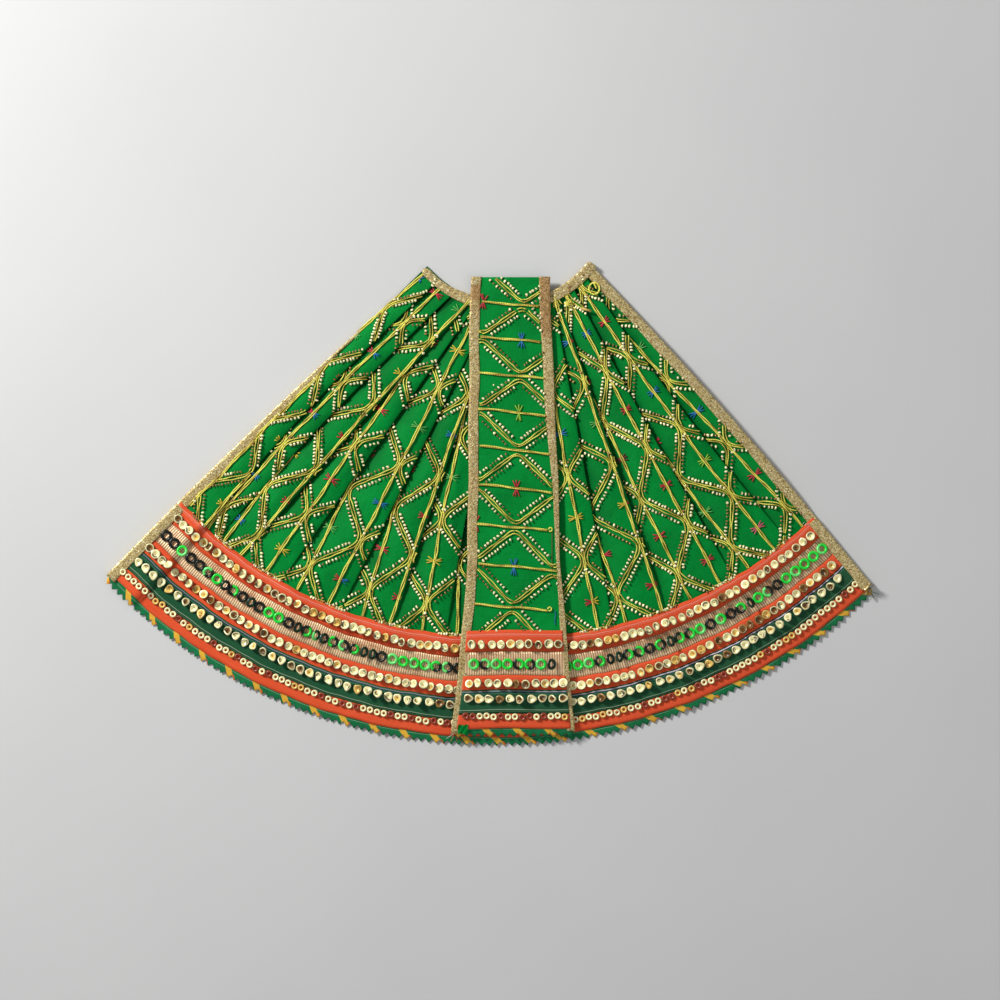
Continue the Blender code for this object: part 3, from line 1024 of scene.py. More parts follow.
def disc_template(rings, count, outline=None):
    """Rings of (radius, height) from the outside in, closed by a centre when the last is 0."""
    verts, faces = [], []
    for radius, height in rings:
        if radius == 0:
            verts.append((0, 0, height))
            continue
        for i in range(count):
            turn = 2 * math.pi * i / count
            reach = radius * (outline(turn) if outline else 1.0)
            verts.append((reach * math.cos(turn), reach * math.sin(turn), height))
    whole = len(rings) - (1 if rings[-1][0] == 0 else 0)
    for f in grid_faces(whole, count, closed=True):
        faces.append(f)
    if rings[-1][0] == 0:
        base = (whole - 1) * count
        centre = len(verts) - 1
        for i in range(count):
            faces.append((base + i, base + (i + 1) % count, centre))
    return np.array(verts, float), faces


def heart_outline(turn):
    """A rounded drop that comes to a point along +X."""
    return 1.0 + 0.42 * max(0.0, math.cos(turn)) ** 9 - 0.16 * max(0.0, -math.cos(turn)) ** 8


# How many points go round each template.
CUP_SIDES, HEART_SIDES, RING_SIDES, EYELET_SIDES, BEAD_SIDES = 14, 18, 18, 12, 10
CUP = disc_template(((1.0, 0.2), (0.9, 0.6), (0.6, 0.3), (0.2, 0.14), (0.1, -0.05)), CUP_SIDES)
HEART = disc_template(((1.0, 0.15), (0.9, 0.5), (0.55, 0.34), (0.18, 0.12), (0.1, -0.05)), HEART_SIDES,
                      heart_outline)
LOOP = disc_template(((1.0, 0.1), (0.93, 0.34), (0.74, 0.42), (0.55, 0.3), (0.48, 0.05)), RING_SIDES,
                     lambda turn: 1.0 + 0.035 * math.cos(9 * turn))
EYELET = disc_template(((1.0, 0.1), (0.85, 0.42), (0.6, 0.42), (0.36, 0.08)), EYELET_SIDES)
BEAD = disc_template(((1.0, 0.05), (0.84, 0.42), (0.45, 0.58), (0, 0.6)), BEAD_SIDES,
                     lambda turn: 1 / math.hypot(math.cos(turn), math.sin(turn) / 0.74))
# Radii.
CUP_SIZE = 2.6
HEART_SIZE = 2.45
RING_SIZE = 3.2
EYELET_SIZE = 2.0
# How much of its tilt a sequin loses under the front panel.
PRESSED = 0.9


def set_down(template, centre, size, turn=0.0, tilt=0.0, lean=0.0):
    """A template's points, turned in the plane, tilted towards an angle, and moved."""
    verts, faces = template
    points = verts * size
    c, s = math.cos(turn), math.sin(turn)
    points = points @ np.array([[c, s, 0], [-s, c, 0], [0, 0, 1]])
    if tilt:
        axis = np.array([math.cos(lean), math.sin(lean), 0])
        along = points @ axis
        other = points - np.outer(along, axis)
        up = np.cross(axis, other)
        points = np.outer(along, axis) + other * math.cos(tilt) + up * math.sin(tilt)
        points[:, 2] += abs(math.sin(tilt)) * size * 0.85
    return (points + np.array(centre)).tolist(), faces


RING_TINTS = {"g": NEON, "l": MINT, "b": BOTTLE, "k": INK}
# Each ring's two halves from left to right: bright green, light green, bottle or black.
# The bright and dark halves are partly the sequins' own greens and black, partly painted reflection and
# shade.
SKIRT_RINGS = (
    "kk kk gl kk kk lk gg bk kg kk bb kk gg gg kk kb kg lb bk gk lk kg bb bb kk ll gg lg gl gk"
    " lk kk gg kk gg kg gk kk gg bb gg lg gg lg kg kb bb kg kg kk gk bb kg kg gl kk lg kk kg bk"
    " gg lk kk gg lg gg gg lg")
PANEL_RINGS = "lg kl lg gg kg gk lg kb"


def choose(pairs):
    """One of (weight, value) pairs."""
    pick = RNG.uniform(0, sum(weight for weight, _ in pairs))
    for weight, value in pairs:
        pick -= weight
        if pick <= 0:
            return value
    return pairs[-1][1]


class Gored:
    """One pile for each gore."""

    def __init__(self):
        self.piles = {}

    def at(self, point):
        return self.named(gore_of(point[0], point[1]))

    def named(self, key):
        return self.piles.setdefault(key, Pile())


def ring_tints(template, count, edge, rim, inner):
    """Tints for a template: its outer edge, which the callers give a dark painted shadow, its rim, and the
    rest.
    """
    return [edge] * count + [rim] * count + [inner] * (len(template[0]) - 2 * count)


# Weighted tints: of an eyelet, and of a sequin's rim, inside and crescent.
EYELET_TINTS = ((6, CREAM), (1, STRAW), (2.2, RUST))
# A sequin's cream and brown mixes are partly painted reflection of the foil; its umber crescent is painted
# shade.
SEQUIN_TINTS = (
    (4, (CREAM, CREAM, CREAM)), (4.2, (CREAM, CREAM, UMBER)), (1.4, (CREAM, STRAW, CREAM)),
    (1.9, (CREAM, BROWN, UMBER)), (1.2, (STRAW, STRAW, BROWN)), (0.7, (BRONZE, BROWN, UMBER)))
# The turn of the axis that tips a sequin's face to the upper left.
TOWARDS_LIGHT = -2.24


def sequin(pile, kind, centre, turn, pressed=0.0):
    """One sequin of a band, sewn a little askew, with an edge of painted shadow. Some have a
    crescent of painted shade inside, and the ones under the front panel are pressed flat."""
    tilt, lean = RNG.gauss(0.26, 0.2), TOWARDS_LIGHT + RNG.gauss(0, 0.7)
    tilt *= 1 - pressed
    if kind == "eyelet":
        tint = choose(EYELET_TINTS)
        tints = ring_tints(EYELET, EYELET_SIDES, BROWN, tint, tint)
        pile.add(*set_down(EYELET, centre, EYELET_SIZE, turn, tilt * 0.5, lean), tints)
        return
    template, count, size = CUP, CUP_SIDES, CUP_SIZE
    if kind == "heart":
        template, count, size = HEART, HEART_SIDES, HEART_SIZE
    if RNG.random() < 0.28:
        tilt, lean = RNG.uniform(0.5, 0.9) * (1 - pressed), turn - math.pi / 2
    rim, inner, crescent = choose(SEQUIN_TINTS)
    verts, faces = set_down(template, centre, size * RNG.uniform(0.93, 1.07), turn, tilt, lean)
    tints = ring_tints(template, count, UMBER, rim, inner)
    side = RNG.uniform(0, 2 * math.pi)
    for i in range(2 * count, len(verts)):
        reach = math.cos(side) * (verts[i][0] - centre[0]) + math.sin(side) * (verts[i][1] - centre[1])
        if reach > 0.25 * size:
            tints[i] = crescent
    pile.add(verts, faces, tints)


def ring(pile, centre, turn, halves, narrow, pressed=0.0):
    """A flat ring in two colours, given as two letters for its left and right halves."""
    tilt = RNG.uniform(0.75, 0.95) if narrow else RNG.gauss(0, 0.14)
    tilt *= 1 - pressed
    lean = turn + math.pi / 2 if narrow else RNG.uniform(0, 3)
    verts, faces = set_down(LOOP, centre, RING_SIZE, turn, tilt, lean)
    split = turn + RNG.gauss(0, 0.4)
    tints = []
    for v in verts:
        across = (v[0] - centre[0]) * math.cos(split) + (v[1] - centre[1]) * math.sin(split)
        tints.append(RING_TINTS[halves[0] if across < 0 else halves[1]])
    pile.add(verts, faces, tints)


def ring_row(words):
    """Yields each ring's halves, whether it is narrow, and its pitch."""
    for halves in words.split():
        narrow = "b" in halves
        yield halves, narrow, 4.9 if narrow else 6.2


def highest_ripple(degrees, share):
    """The highest cloth under a sequin, so that none goes through the raised left end."""
    return max(band_ripple(degrees + reach, share) for reach in (-0.55, 0.0, 0.55))


# Kind, place among the bands, pitch, lift.
SKIRT_SEQUIN_ROWS = (
    ("cup", 0.12, 4.75, 0.75), ("cup", 0.488, 4.9, 0.75), ("heart", 0.635, 5.6, 0.75),
    ("eyelet", 0.80, 3.95, 0.85))
RING_SHARE = 0.30


def build_band_sequins(golds, rings):
    for kind, share, pitch, lift in SKIRT_SEQUIN_ROWS:
        left, right = edge_degrees(0, share), edge_degrees(1, share)
        radius = band_radius(0, share)
        step = math.degrees(pitch / radius)
        degrees = left + step * 1.35
        while degrees < right - step * 1.3:
            x, y = band_xy(degrees, share + RNG.gauss(0, 0.004))
            z = highest_ripple(degrees, share) + lift
            turn = math.radians(degrees) + RNG.gauss(0, 0.2)
            if kind == "heart" and degrees < -8:
                turn -= 1.2 + RNG.gauss(0, 0.2)
            sequin(golds.at((x, y)), kind, (x, y, z), turn, PRESSED * under_panel(x, y))
            degrees += step * RNG.uniform(0.93, 1.07)
    share = RING_SHARE
    first, last = edge_degrees(0, share), edge_degrees(1, share)
    words = list(ring_row(SKIRT_RINGS))
    step = (last - first - 2.4) / sum(pitch for _, _, pitch in words)
    degrees = first + 1.2
    for halves, narrow, pitch in words:
        degrees += step * pitch / 2
        x, y = band_xy(degrees, share)
        spot = (x, y, highest_ripple(degrees, share) + 0.55)
        ring(rings.at((x, y)), spot, math.radians(degrees), halves, narrow, PRESSED * under_panel(x, y))
        degrees += step * pitch / 2


# ---- Embroidery ---------------------------------------------------------------------

CORD_SIDES = 6
# Steps along a cord, and along a string of beads.
CORD_STEP = 0.8
STRING_STEP = 0.3
BEAD_PITCH = 2.15


def arm_path(column, row, row_pitch, gap, bend):
    """Flat points of one zigzag arm, from a row to the next, between two columns.
    It stays a gap away from the cords and turns parallel to them over a bend."""
    from_left = (column + row) % 2 == 1
    points = []
    for i in range(25):
        share = i / 24
        if share < bend:
            eased = share * share / (2 * bend)
        elif share < 1 - bend:
            eased = share - bend / 2
        else:
            eased = 1 - bend - (1 - share) ** 2 / (2 * bend)
        across = gap + (1 - 2 * gap) * eased / (1 - bend)
        points.append(((column + (across if from_left else 1 - across)) * COLUMN_PITCH,
                       (row + share) * row_pitch))
    return np.array(points), from_left


def offset_path(points, distance):
    along = np.gradient(points, axis=0)
    along /= np.linalg.norm(along, axis=1)[:, None]
    return points + np.stack([along[:, 1], -along[:, 0]], axis=1) * distance


def runs(flat_points, surface):
    """Splits a flat path into the stretches that show, as (key, 3-D points)."""
    found, current, last = [], [], None
    for across, down in flat_points:
        hit = surface(across, down)
        key = hit[1] if hit else None
        if key != last and current:
            if len(current) > 1:
                found.append((last, current))
            current = []
        if hit:
            current.append(hit[0])
        last = key
    if len(current) > 1:
        found.append((last, current))
    return found


def cord_tints(count, dull):
    """Bright gold with duller stretches of painted shade, one tint a point."""
    reach = np.arange(count) * CORD_STEP
    wave = (np.sin(reach * 0.23 + RNG.uniform(0, 6)) + 0.6 * np.sin(reach * 0.61 + RNG.uniform(0, 6)))
    share = np.clip(wave * 0.5 + 0.9 - dull, 0, 1)[:, None]
    return np.array(OLIVE) + (np.array(GOLD) - np.array(OLIVE)) * share


def lay_cord(piles, points, key_pile, radius, gap, dull):
    """Two strands laid side by side, loosely twisted, that part and meet again."""
    path = resample(points, CORD_STEP)
    if len(path) < 3:
        return
    along = np.gradient(path, axis=0)
    side = np.cross(along, (0.0, 0.0, 1.0))
    side /= np.linalg.norm(side, axis=1)[:, None] + 1e-9
    reach = np.arange(len(path)) * CORD_STEP
    phase = RNG.uniform(0, 6)
    apart = gap * (1 + 0.28 * np.sin(reach * 0.37 + phase) + 0.14 * np.sin(reach * 0.93 + phase))
    for way in (-1, 1):
        strand = path + side * (apart * way)[:, None]
        strand[:, 2] += radius + 0.1 + 0.08 * np.sin(reach * 1.3 + phase) * way
        add_split(piles, strand, radius, cord_tints(len(strand), dull), key_pile)


def add_split(piles, strand, radius, tints, key_pile):
    """Sweeps a strand in lengths that each stay in one gore."""
    gores = [key_pile or gore_of(p[0], p[1]) for p in strand]
    start = 0
    for i in range(1, len(strand) + 1):
        if i == len(strand) or gores[i] != gores[start]:
            end = min(i + 1, len(strand))
            if end - start > 1:
                verts, faces, flats = sweep(strand[start:end], radius, CORD_SIDES)
                rings = [tuple(t) for t in tints[start:end] for _ in range(CORD_SIDES)]
                piles.named(gores[start]).add(verts, faces, rings, flats)
            start = i


def wobble(points, size=0.3):
    """Moves a flat path a little to the sides, as cord couched by hand."""
    start = RNG.uniform(0, 6)
    reach = np.arange(len(points)) * 1.5
    sway = size * (np.sin(reach * 0.11 + start) + 0.5 * np.sin(reach * 0.29 + 2 * start))
    return np.array(points) + np.stack([sway, np.zeros(len(points))], axis=1)


def embroider(surface, columns, rows, row_pitch, cords, beads, turn, key_pile=None, dull=0.15,
              gap=0.44, stops=None):
    """Straight cords, zigzags and strings of beads, in flat coordinates. The stops say
    where a column's cord ends early."""
    low, high = rows
    for column in range(columns[0], columns[1] + 1):
        end = (stops or {}).get(column, high * row_pitch)
        path = wobble([(column * COLUMN_PITCH, down)
                       for down in np.arange(low * row_pitch, end, 1.5)],
                      0.1 if column < 0 else 0.3)
        for _, points in runs(path, surface):
            lay_cord(cords, points, key_pile, 0.4, gap, dull)
    for column in range(columns[0] - 1, columns[1] + 1):
        for row in range(int(low) - 1, int(high) + 1):
            path, from_left = arm_path(column, row, row_pitch, *turn)
            for _, points in runs(path, surface):
                lay_cord(cords, points, key_pile, 0.36, 0.62, 0.35)
            for side in (-1, 1):
                bead_string(beads, path, side, from_left, surface, key_pile)


def bead_string(beads, path, side, from_left, surface, key_pile):
    """Small gold sequins beside one arm. The string inside each turn runs up to its corner,
    and the one outside stops where it would reach the straight cord."""
    string = resample(offset_path(path, RNG.uniform(2.1, 3.2) * side), STRING_STEP)
    length = STRING_STEP * (len(string) - 1)
    inside_first = (side == 1) == from_left
    low, high = (2.6, length - 5.4) if inside_first else (5.4, length - 2.6)
    down = low + RNG.uniform(-0.3, 0.3)
    bright = RNG.random() < 0.65
    way = 1 if RNG.random() < 0.5 else -1
    while down < high:
        index = min(int(down / STRING_STEP), len(string) - 2)
        hit = surface(*string[index])
        ahead = surface(*string[index + 1])
        if hit and ahead:
            point = hit[0]
            key = key_pile or gore_of(point[0], point[1])
            spot = (point[0] + RNG.gauss(0, 0.1), point[1] + RNG.gauss(0, 0.1), point[2] + 0.2)
            heading = math.atan2(ahead[0][1] - point[1], ahead[0][0] - point[0])
            tilt = RNG.gauss(0.2, 0.25) if bright else RNG.uniform(0.5, 0.9)
            size = RNG.uniform(0.92, 1.16) if bright else RNG.uniform(0.78, 0.92)
            verts, faces = set_down(BEAD, spot, size, heading + RNG.uniform(0, 3.1), tilt,
                                 heading + math.pi / 2 + RNG.gauss(0, 0.3))
            # Painted light: cream beads stand for foil that catches the light and bronze ones for foil
            # turned from it; the umber half and edge of each bead are painted shade.
            light, dark = (CREAM, UMBER) if bright else (BRONZE, UMBER)
            tints = []
            for v in verts:
                shade = math.cos(heading) * (v[0] - spot[0]) + math.sin(heading) * (v[1] - spot[1])
                tints.append(dark if shade * way < -0.32 * size else light)
            tints[:BEAD_SIDES] = [dark] * BEAD_SIDES
            beads.named(key).add(verts, faces, tints)
        down += BEAD_PITCH * RNG.uniform(0.85, 1.15)
        if RNG.random() < (0.18 if bright else 0.34):
            bright = not bright


STAR_COLOURS = {
    "r": (190, 22, 50), "b": (0, 112, 176), "y": (214, 190, 50), "g": (90, 176, 80),
    "l": (150, 196, 50), "d": (110, 16, 30), "p": (214, 96, 120),
}


def lay_thread(pile, points, radius, letter):
    verts, faces, _ = sweep(points, radius, 5)
    pile.add(verts, faces, tuple(linear(STAR_COLOURS[letter])))


def star(stars, across, down, surface, letters, key_pile=None):
    """Three threads on each side of the cord, fanned out."""
    for side in (-1, 1):
        colour = STAR_COLOURS[letters[0] if side < 0 else letters[-1]]
        tint = tuple(linear(colour))
        for spread in (-0.42, 0.0, 0.42):
            angle = spread + RNG.gauss(0, 0.06)
            points = []
            for reach in (0.3, 1.8, 3.2, 4.5):
                hit = surface(across + side * reach * math.cos(angle), down + reach * math.sin(angle))
                if hit:
                    points.append(hit[0] + np.array([0, 0, 0.35]))
            if len(points) > 1:
                key = key_pile if key_pile else gore_of(points[0][0], points[0][1])
                verts, faces, _ = sweep(points, (0.3, 0.36, 0.36, 0.3)[:len(points)], 5, 0.6)
                stars.named(key).add(verts, faces, tint)


def skirt_surface(across, down):
    """across and down are flat: down counts up from the bands, in millimetres."""
    found = find_pleat(across / COLUMN_PITCH, down + FIRST_ROW)
    if not found:
        return None
    pleat, way = found
    point = pleat_point(pleat, across / COLUMN_PITCH, way)
    for side, edge_pleat in ((0, 0), (1, len(PLEATS) - 1)):
        if pleat == edge_pleat:
            rim = pleat_xy(pleat, limit(pleat, way, 1 + side), way)
            covered = tape_width(side, way * EDGE_BAND_WAY[side]) - (0.6 if side else 1.2)
            if np.hypot(*(rim - point[:2])) < covered:
                return None
    return point, pleat


# Thread colours of the stars up each column, one word a star, from its lowest row.
SKIRT_STARS = {
    -1: "r y g b", 0: "y yr ry y", 1: "b rb rb r", 2: "b y r g", 3: "r ry y g", 4: "y r r r",
    5: "g r y r", 6: "rb b g y", 7: "r r y b", 8: "ry r b r", 9: "y g r y", 14: "ry y b r",
    15: "r g r b", 16: "r yr g br", 17: "r d r y", 18: "r r r b", 19: "g r y r", 20: "p l b r",
    21: "r b g r",
}
PANEL_STARS = "r r b - l - r r b -"
# Two of the panel's lines end in a loop, this far along.
PANEL_CORD_ENDS = {6: 40.6, 8: 41.8}


# ---- Front panel --------------------------------------------------------------------

PANEL_TOP = 125.4
PANEL_HINGE = 104.0
PANEL_YS = (-128.6, -103.1, -64.3, -31.0, 13.4, 88.9, 104.0, 125.4)
PANEL_LEFT = (-21.5, -18.7, -14.8, -12.4, -11.9, -11.3, -11.0, -10.4)
PANEL_RIGHT = (47.3, 45.1, 41.8, 39.0, 37.9, 34.6, 33.9, 33.5)
# How much of the right tape shows: it is turned on edge below the middle.
RIGHT_TAPE_YS = (-128.6, -100.0, -64.0, -31.0, 13.0, 60.0, 125.4)
RIGHT_TAPE_WIDTHS = (4.4, 4.2, 3.4, 2.0, 3.6, 5.8, 6.1)
PANEL_BANDS_TOP = -69.8
# Its rows lie across it, and its straight cords slope down to the right.
PANEL_ROW = 21.8
PANEL_SLANT = 0.102


def panel_sides(y):
    left = float(np.interp(y, PANEL_YS, PANEL_LEFT)) + 0.25 * math.sin(y * 0.11)
    right = float(np.interp(y, PANEL_YS, PANEL_RIGHT)) + 0.2 * math.sin(y * 0.09 + 1)
    return left, right


def panel_z(x, y):
    left, right = panel_sides(y)
    share = (x - left) / (right - left)
    crown = 0.5 * math.sin(math.pi * min(max(share, 0), 1)) * smooth((y + 128) / 40)
    wave = 0.3 * math.sin(y * 0.055 + 0.8) + 0.15 * math.sin(y * 0.15 + share * 3)
    top = 0.5 * smooth((PANEL_TOP - y) / 6) * smooth((y - 90) / 15)
    return PANEL_Z + 0.35 + crown + wave * smooth((PANEL_TOP - y) / 25) - 0.4 + top * 0.3


def panel_surface(across, down):
    """Panel lines are columns counted down from the top, rows run across the panel."""
    line = across / COLUMN_PITCH
    centre = 18.3 - 0.7 * line
    x = centre + (down - PANEL_ROW)
    y = 110.0 - 19.2 * line - 0.21 * line * line - (x - centre) * PANEL_SLANT
    left, right = panel_sides(y)
    inner = right - float(np.interp(y, RIGHT_TAPE_YS, RIGHT_TAPE_WIDTHS)) + 0.6
    if not (left + 5.2 < x < inner and PANEL_BANDS_TOP - 1.0 < y < PANEL_TOP - 0.4):
        return None
    return np.array([x, y, panel_z(x, y)]), "panel"


def split_panel(y):
    return "top" if y > PANEL_HINGE + HINGE_MARGIN else "low"


def build_panel_cloth():
    """The panel with its folded top, as two pieces that meet just above the hinge."""
    upper = np.linspace(PANEL_TOP, PANEL_HINGE + HINGE_MARGIN, 12)
    lower = np.linspace(PANEL_HINGE + HINGE_MARGIN, -124.5, 110)
    pieces = []
    for name, ys in (("panel_cloth_top", upper), ("panel_cloth_low", lower)):
        rows = []
        if name.endswith("top"):
            for back in np.linspace(0, 1, 6):
                y = PANEL_TOP - 12 * (1 - back)
                rows.append((y, lambda x, y=y, b=back: PANEL_Z - 0.95 + 0.35 * b))
            rows.append((PANEL_TOP + 0.28, lambda x: PANEL_Z - 0.3))
        for y in ys:
            rows.append((y, lambda x, y=y: panel_z(x, y)))
        pile = Pile()
        points, flats = [], []
        for order, (y, height) in enumerate(rows):
            left, right = panel_sides(min(y, PANEL_TOP))
            for i in range(41):
                x = left + 1.5 + (right - left - 3.0) * i / 40
                points.append((x, y, height(x) - UNDER_TRIM))
                flats.append((-order * 2.1 if name.endswith("top") else -110 + y, x))
        pile.add(points, grid_faces(len(rows), 41), flats=flats)
        pieces.append(pile.build(name, SATIN))
    return pieces


def build_panel_tape(side, part):
    top, bottom = (PANEL_TOP + 0.5, PANEL_HINGE + HINGE_MARGIN)
    if part == "low":
        top, bottom = bottom, -127.0 if side == 0 else -125.5
    sections, tints = [], []
    count = 34 if part == "top" else 116
    for y in np.linspace(top, bottom, count):
        left, right = panel_sides(y)
        if side == 0:
            width = 5.6 + 0.2 * math.sin(y * 0.2) + 1.2 * smooth((-108 - y) / 18)
            outer, inner = left, left + width
            drop = 0.0
        else:
            width = float(np.interp(y, RIGHT_TAPE_YS, RIGHT_TAPE_WIDTHS))
            outer, inner = right, right - width
            drop = 0.9 * smooth((4.6 - width) / 2.5)
        high = panel_z((outer + inner) / 2, y) + 0.45
        low = high - 0.95 - drop
        if side == 0 and y > PANEL_TOP - 4.6:
            high += 0.3
        sections.append(tape_section((inner, y), (outer, y), low, high, y))
        # Browner below the top join and in patches along the tape.
        join = (121.5, 126.5)[side]
        browned = smooth((join - y) / 0.4) * smooth((y - (112.0, 88.0)[side]) / (1.5, 9.0)[side])
        browned = max(browned, 0.3 * smooth(math.sin(y * 0.13 + side * 2) * 2 - 1))
        tints.append((1 - 0.2 * browned, 1 - 0.38 * browned, 1 - 0.46 * browned))
    name = f"panel_{('left', 'right')[side]}_tape_{part}_piece"
    return tape_mesh(name, sections, tints)


PANEL_STEPS = 60


def build_panel_ribbon(name, material, top, bottom, lift, rolled):
    sections = []
    for i in range(PANEL_STEPS + 1):
        upper, lower = [], []
        for j in range(RIBBON_ROWS):
            y = top + (bottom - top) * j / (RIBBON_ROWS - 1)
            left, right = panel_sides(y)
            x = left + 3.0 + (right - left - 5.2) * i / PANEL_STEPS
            sway = 0.25 * math.sin(x * 0.13 + lift) + 0.2 * math.sin(x * 0.05)
            base = panel_z(x, y) + lift
            crown = ribbon_crown(j, rolled)
            upper.append(((x, y + sway, base + crown), (x, top - y)))
            lower.append(((x, y + sway, base), (x, top - y)))
        sections.append(upper + lower[::-1])
    return slab(name, material, sections)


def build_panel_frill():
    top, bottom = -122.6, -129.2
    left, right = panel_sides(-128)
    teeth = int((right - left - 3) / TOOTH_PITCH)
    sections = []
    for i in range(2 * teeth + 1):
        x = left + 2.0 + (right - left - 3.0) * i / (2 * teeth)
        tip = bottom if i % 2 else bottom + TOOTH_DEPTH
        upper, lower = [], []
        for j in range(5):
            y = top + (tip - top) * j / 4
            base = panel_z(x, y) - 0.25 - 0.9 * (j / 4) ** 2 + 0.15 * math.sin(i * 0.9)
            upper.append(((x, y, base + FRILL_THICK), (x + 6, top - y)))
            lower.append(((x, y, base), (x + 6, top - y)))
        sections.append(upper + lower[::-1])
    return slab("panel_frill_piece", PINKED, sections)


def panel_row(y, pitch, left_gap, right_gap):
    """Where the sequins of one of the panel's rows go."""
    left, right = panel_sides(y)
    x = left + left_gap
    while x < right - right_gap:
        yield x
        x += pitch * RNG.uniform(0.95, 1.05)


PANEL_SEQUIN_ROWS = (
    ("cup", -77.3, 5.2), ("cup", -99.2, 5.2), ("heart", -107.6, 5.8), ("eyelet", -117.4, 3.9))
PANEL_RING_Y = -88.4


def build_panel_sequins(golds, rings):
    for kind, y, pitch in PANEL_SEQUIN_ROWS:
        for x in panel_row(y, pitch, 7.0, 3.5):
            spot = (x, y + RNG.gauss(0, 0.25), panel_z(x, y) + 0.85)
            sequin(golds.named("low"), kind, spot, RNG.gauss(0, 0.2))
    x = panel_sides(PANEL_RING_Y)[0] + 5.2
    for halves, narrow, pitch in ring_row(PANEL_RINGS):
        x += pitch / 2
        spot = (x, PANEL_RING_Y, panel_z(x, PANEL_RING_Y) + 0.6)
        ring(rings.named("low"), spot, 0.0, halves, narrow)
        x += pitch / 2


# ---- Loose ends ---------------------------------------------------------------------

PALE_THREAD = (230, 225, 210)
TAPE_THREAD = (200, 180, 130)
GREEN_THREAD = (0, 110, 60)


def frays(pile, at, z, heading, count, length, tints, spread=0.7):
    """Thin threads that come out of a cut end and curl on the table."""
    for _ in range(count):
        angle = heading + RNG.uniform(-spread, spread)
        bend = RNG.uniform(-0.12, 0.12)
        x, y = at[0] + RNG.uniform(-2, 2), at[1] + RNG.uniform(-0.8, 0.8)
        points = [(x, y, z)]
        reach = length * RNG.uniform(0.5, 1.1)
        for i in range(8):
            x += math.cos(angle) * reach / 8
            y += math.sin(angle) * reach / 8
            angle += bend
            points.append((x, y, max(0.2, z - 0.12 * z * i + RNG.uniform(-0.1, 0.1))))
        verts, faces, _ = sweep(points, 0.13, 5)
        pile.add(verts, faces, tuple(linear(RNG.choice(tints))))


def curl(pile, centre, z, radius, turns, thick, tint, start=0.0, tail=0.0):
    points = []
    for i in range(int(26 * turns)):
        angle = start + i / 26 * 2 * math.pi
        points.append((centre[0] + radius * math.cos(angle), centre[1] + radius * 1.12 * math.sin(angle),
                       z + 0.02 * i))
    if tail:
        x, y, height = points[-1]
        for i in range(1, 6):
            points.append((x + tail * 0.1 * i, y - abs(tail) * 0.22 * i, height - 0.05 * i))
    verts, faces, _ = sweep(points, thick, 7)
    pile.add(verts, faces, tint)


# ---- Build everything ---------------------------------------------------------------

def finish_gored(pieces, slot, nodes):
    """Hides each gore's CAD part, and hangs the front gore's piece on its body."""
    for gore, piece in pieces.items():
        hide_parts(f"{gore}_{nodes}")
        attach(piece, gore)
    return pieces


def build_gored(gored, prefix, material):
    for key, pile in gored.piles.items():
        piece = pile.build(f"{prefix}_{key}", material)
        attach(piece, key)


def attach_panel(piece, part):
    if part == "top":
        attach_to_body(piece, "skirt_front")
    else:
        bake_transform(piece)


def build_scrap():
    """A frayed scrap of cloth that stands out at the panel's lower left corner."""
    rows, count = 7, 8
    points, flats = [], []
    for j in range(rows):
        for i in range(count):
            x = -17.6 + 0.8 * i + RNG.uniform(-0.25, 0.25)
            y = -122.0 - 0.85 * j + RNG.uniform(-0.25, 0.25)
            points.append((x, y, panel_z(x, y) + 1.3 + 0.5 * math.sin(1.7 * i + 1.1 * j)))
            flats.append((x, y))
    pile = Pile()
    pile.add(points, grid_faces(rows, count), (0.8, 0.85, 0.85), flats)
    return pile.build("panel_frayed_scrap", SATIN)


RIGHT_TAPE_END = (209.5, -47.5)
# Near the right end of the waist: a ring of cord, a tuft of four ends, and a thick one.
WAIST_RING = (57.9, 119.4)
WAIST_ENDS = (
    ((41.2, 111.0), 4.8, GOLD, 0.3, (-0.5, -0.15, 0.2, 0.55)),
    ((51.0, 108.4), 5.4, STRAW, 0.7, (-0.3,)),
)
# Slot, CAD node, name, material, place among the bands, lift off the cloth, rolled edge.
SKIRT_RIBBONS = (
    ("copper_tissue", "copper_band", "copper_tissue", COPPER_TISSUE, COPPER, 0.05, 0.0),
    ("red_ribbon", "red_band", "red_ribbon_top", RED_TOP, RED_1, 0.38, 0.18),
    ("red_ribbon", "lower_band", "red_ribbon_middle", RED_PLAIN, RED_2, 0.38, 0.0),
    ("dark_green_ribbon", "lower_band", "dark_green_ribbon", DARK_GREEN, GREEN, 0.5, 0.0),
    ("red_ribbon", "lower_band", "red_ribbon_low", RED_PLAIN, RED_3, 0.38, 0.0),
)


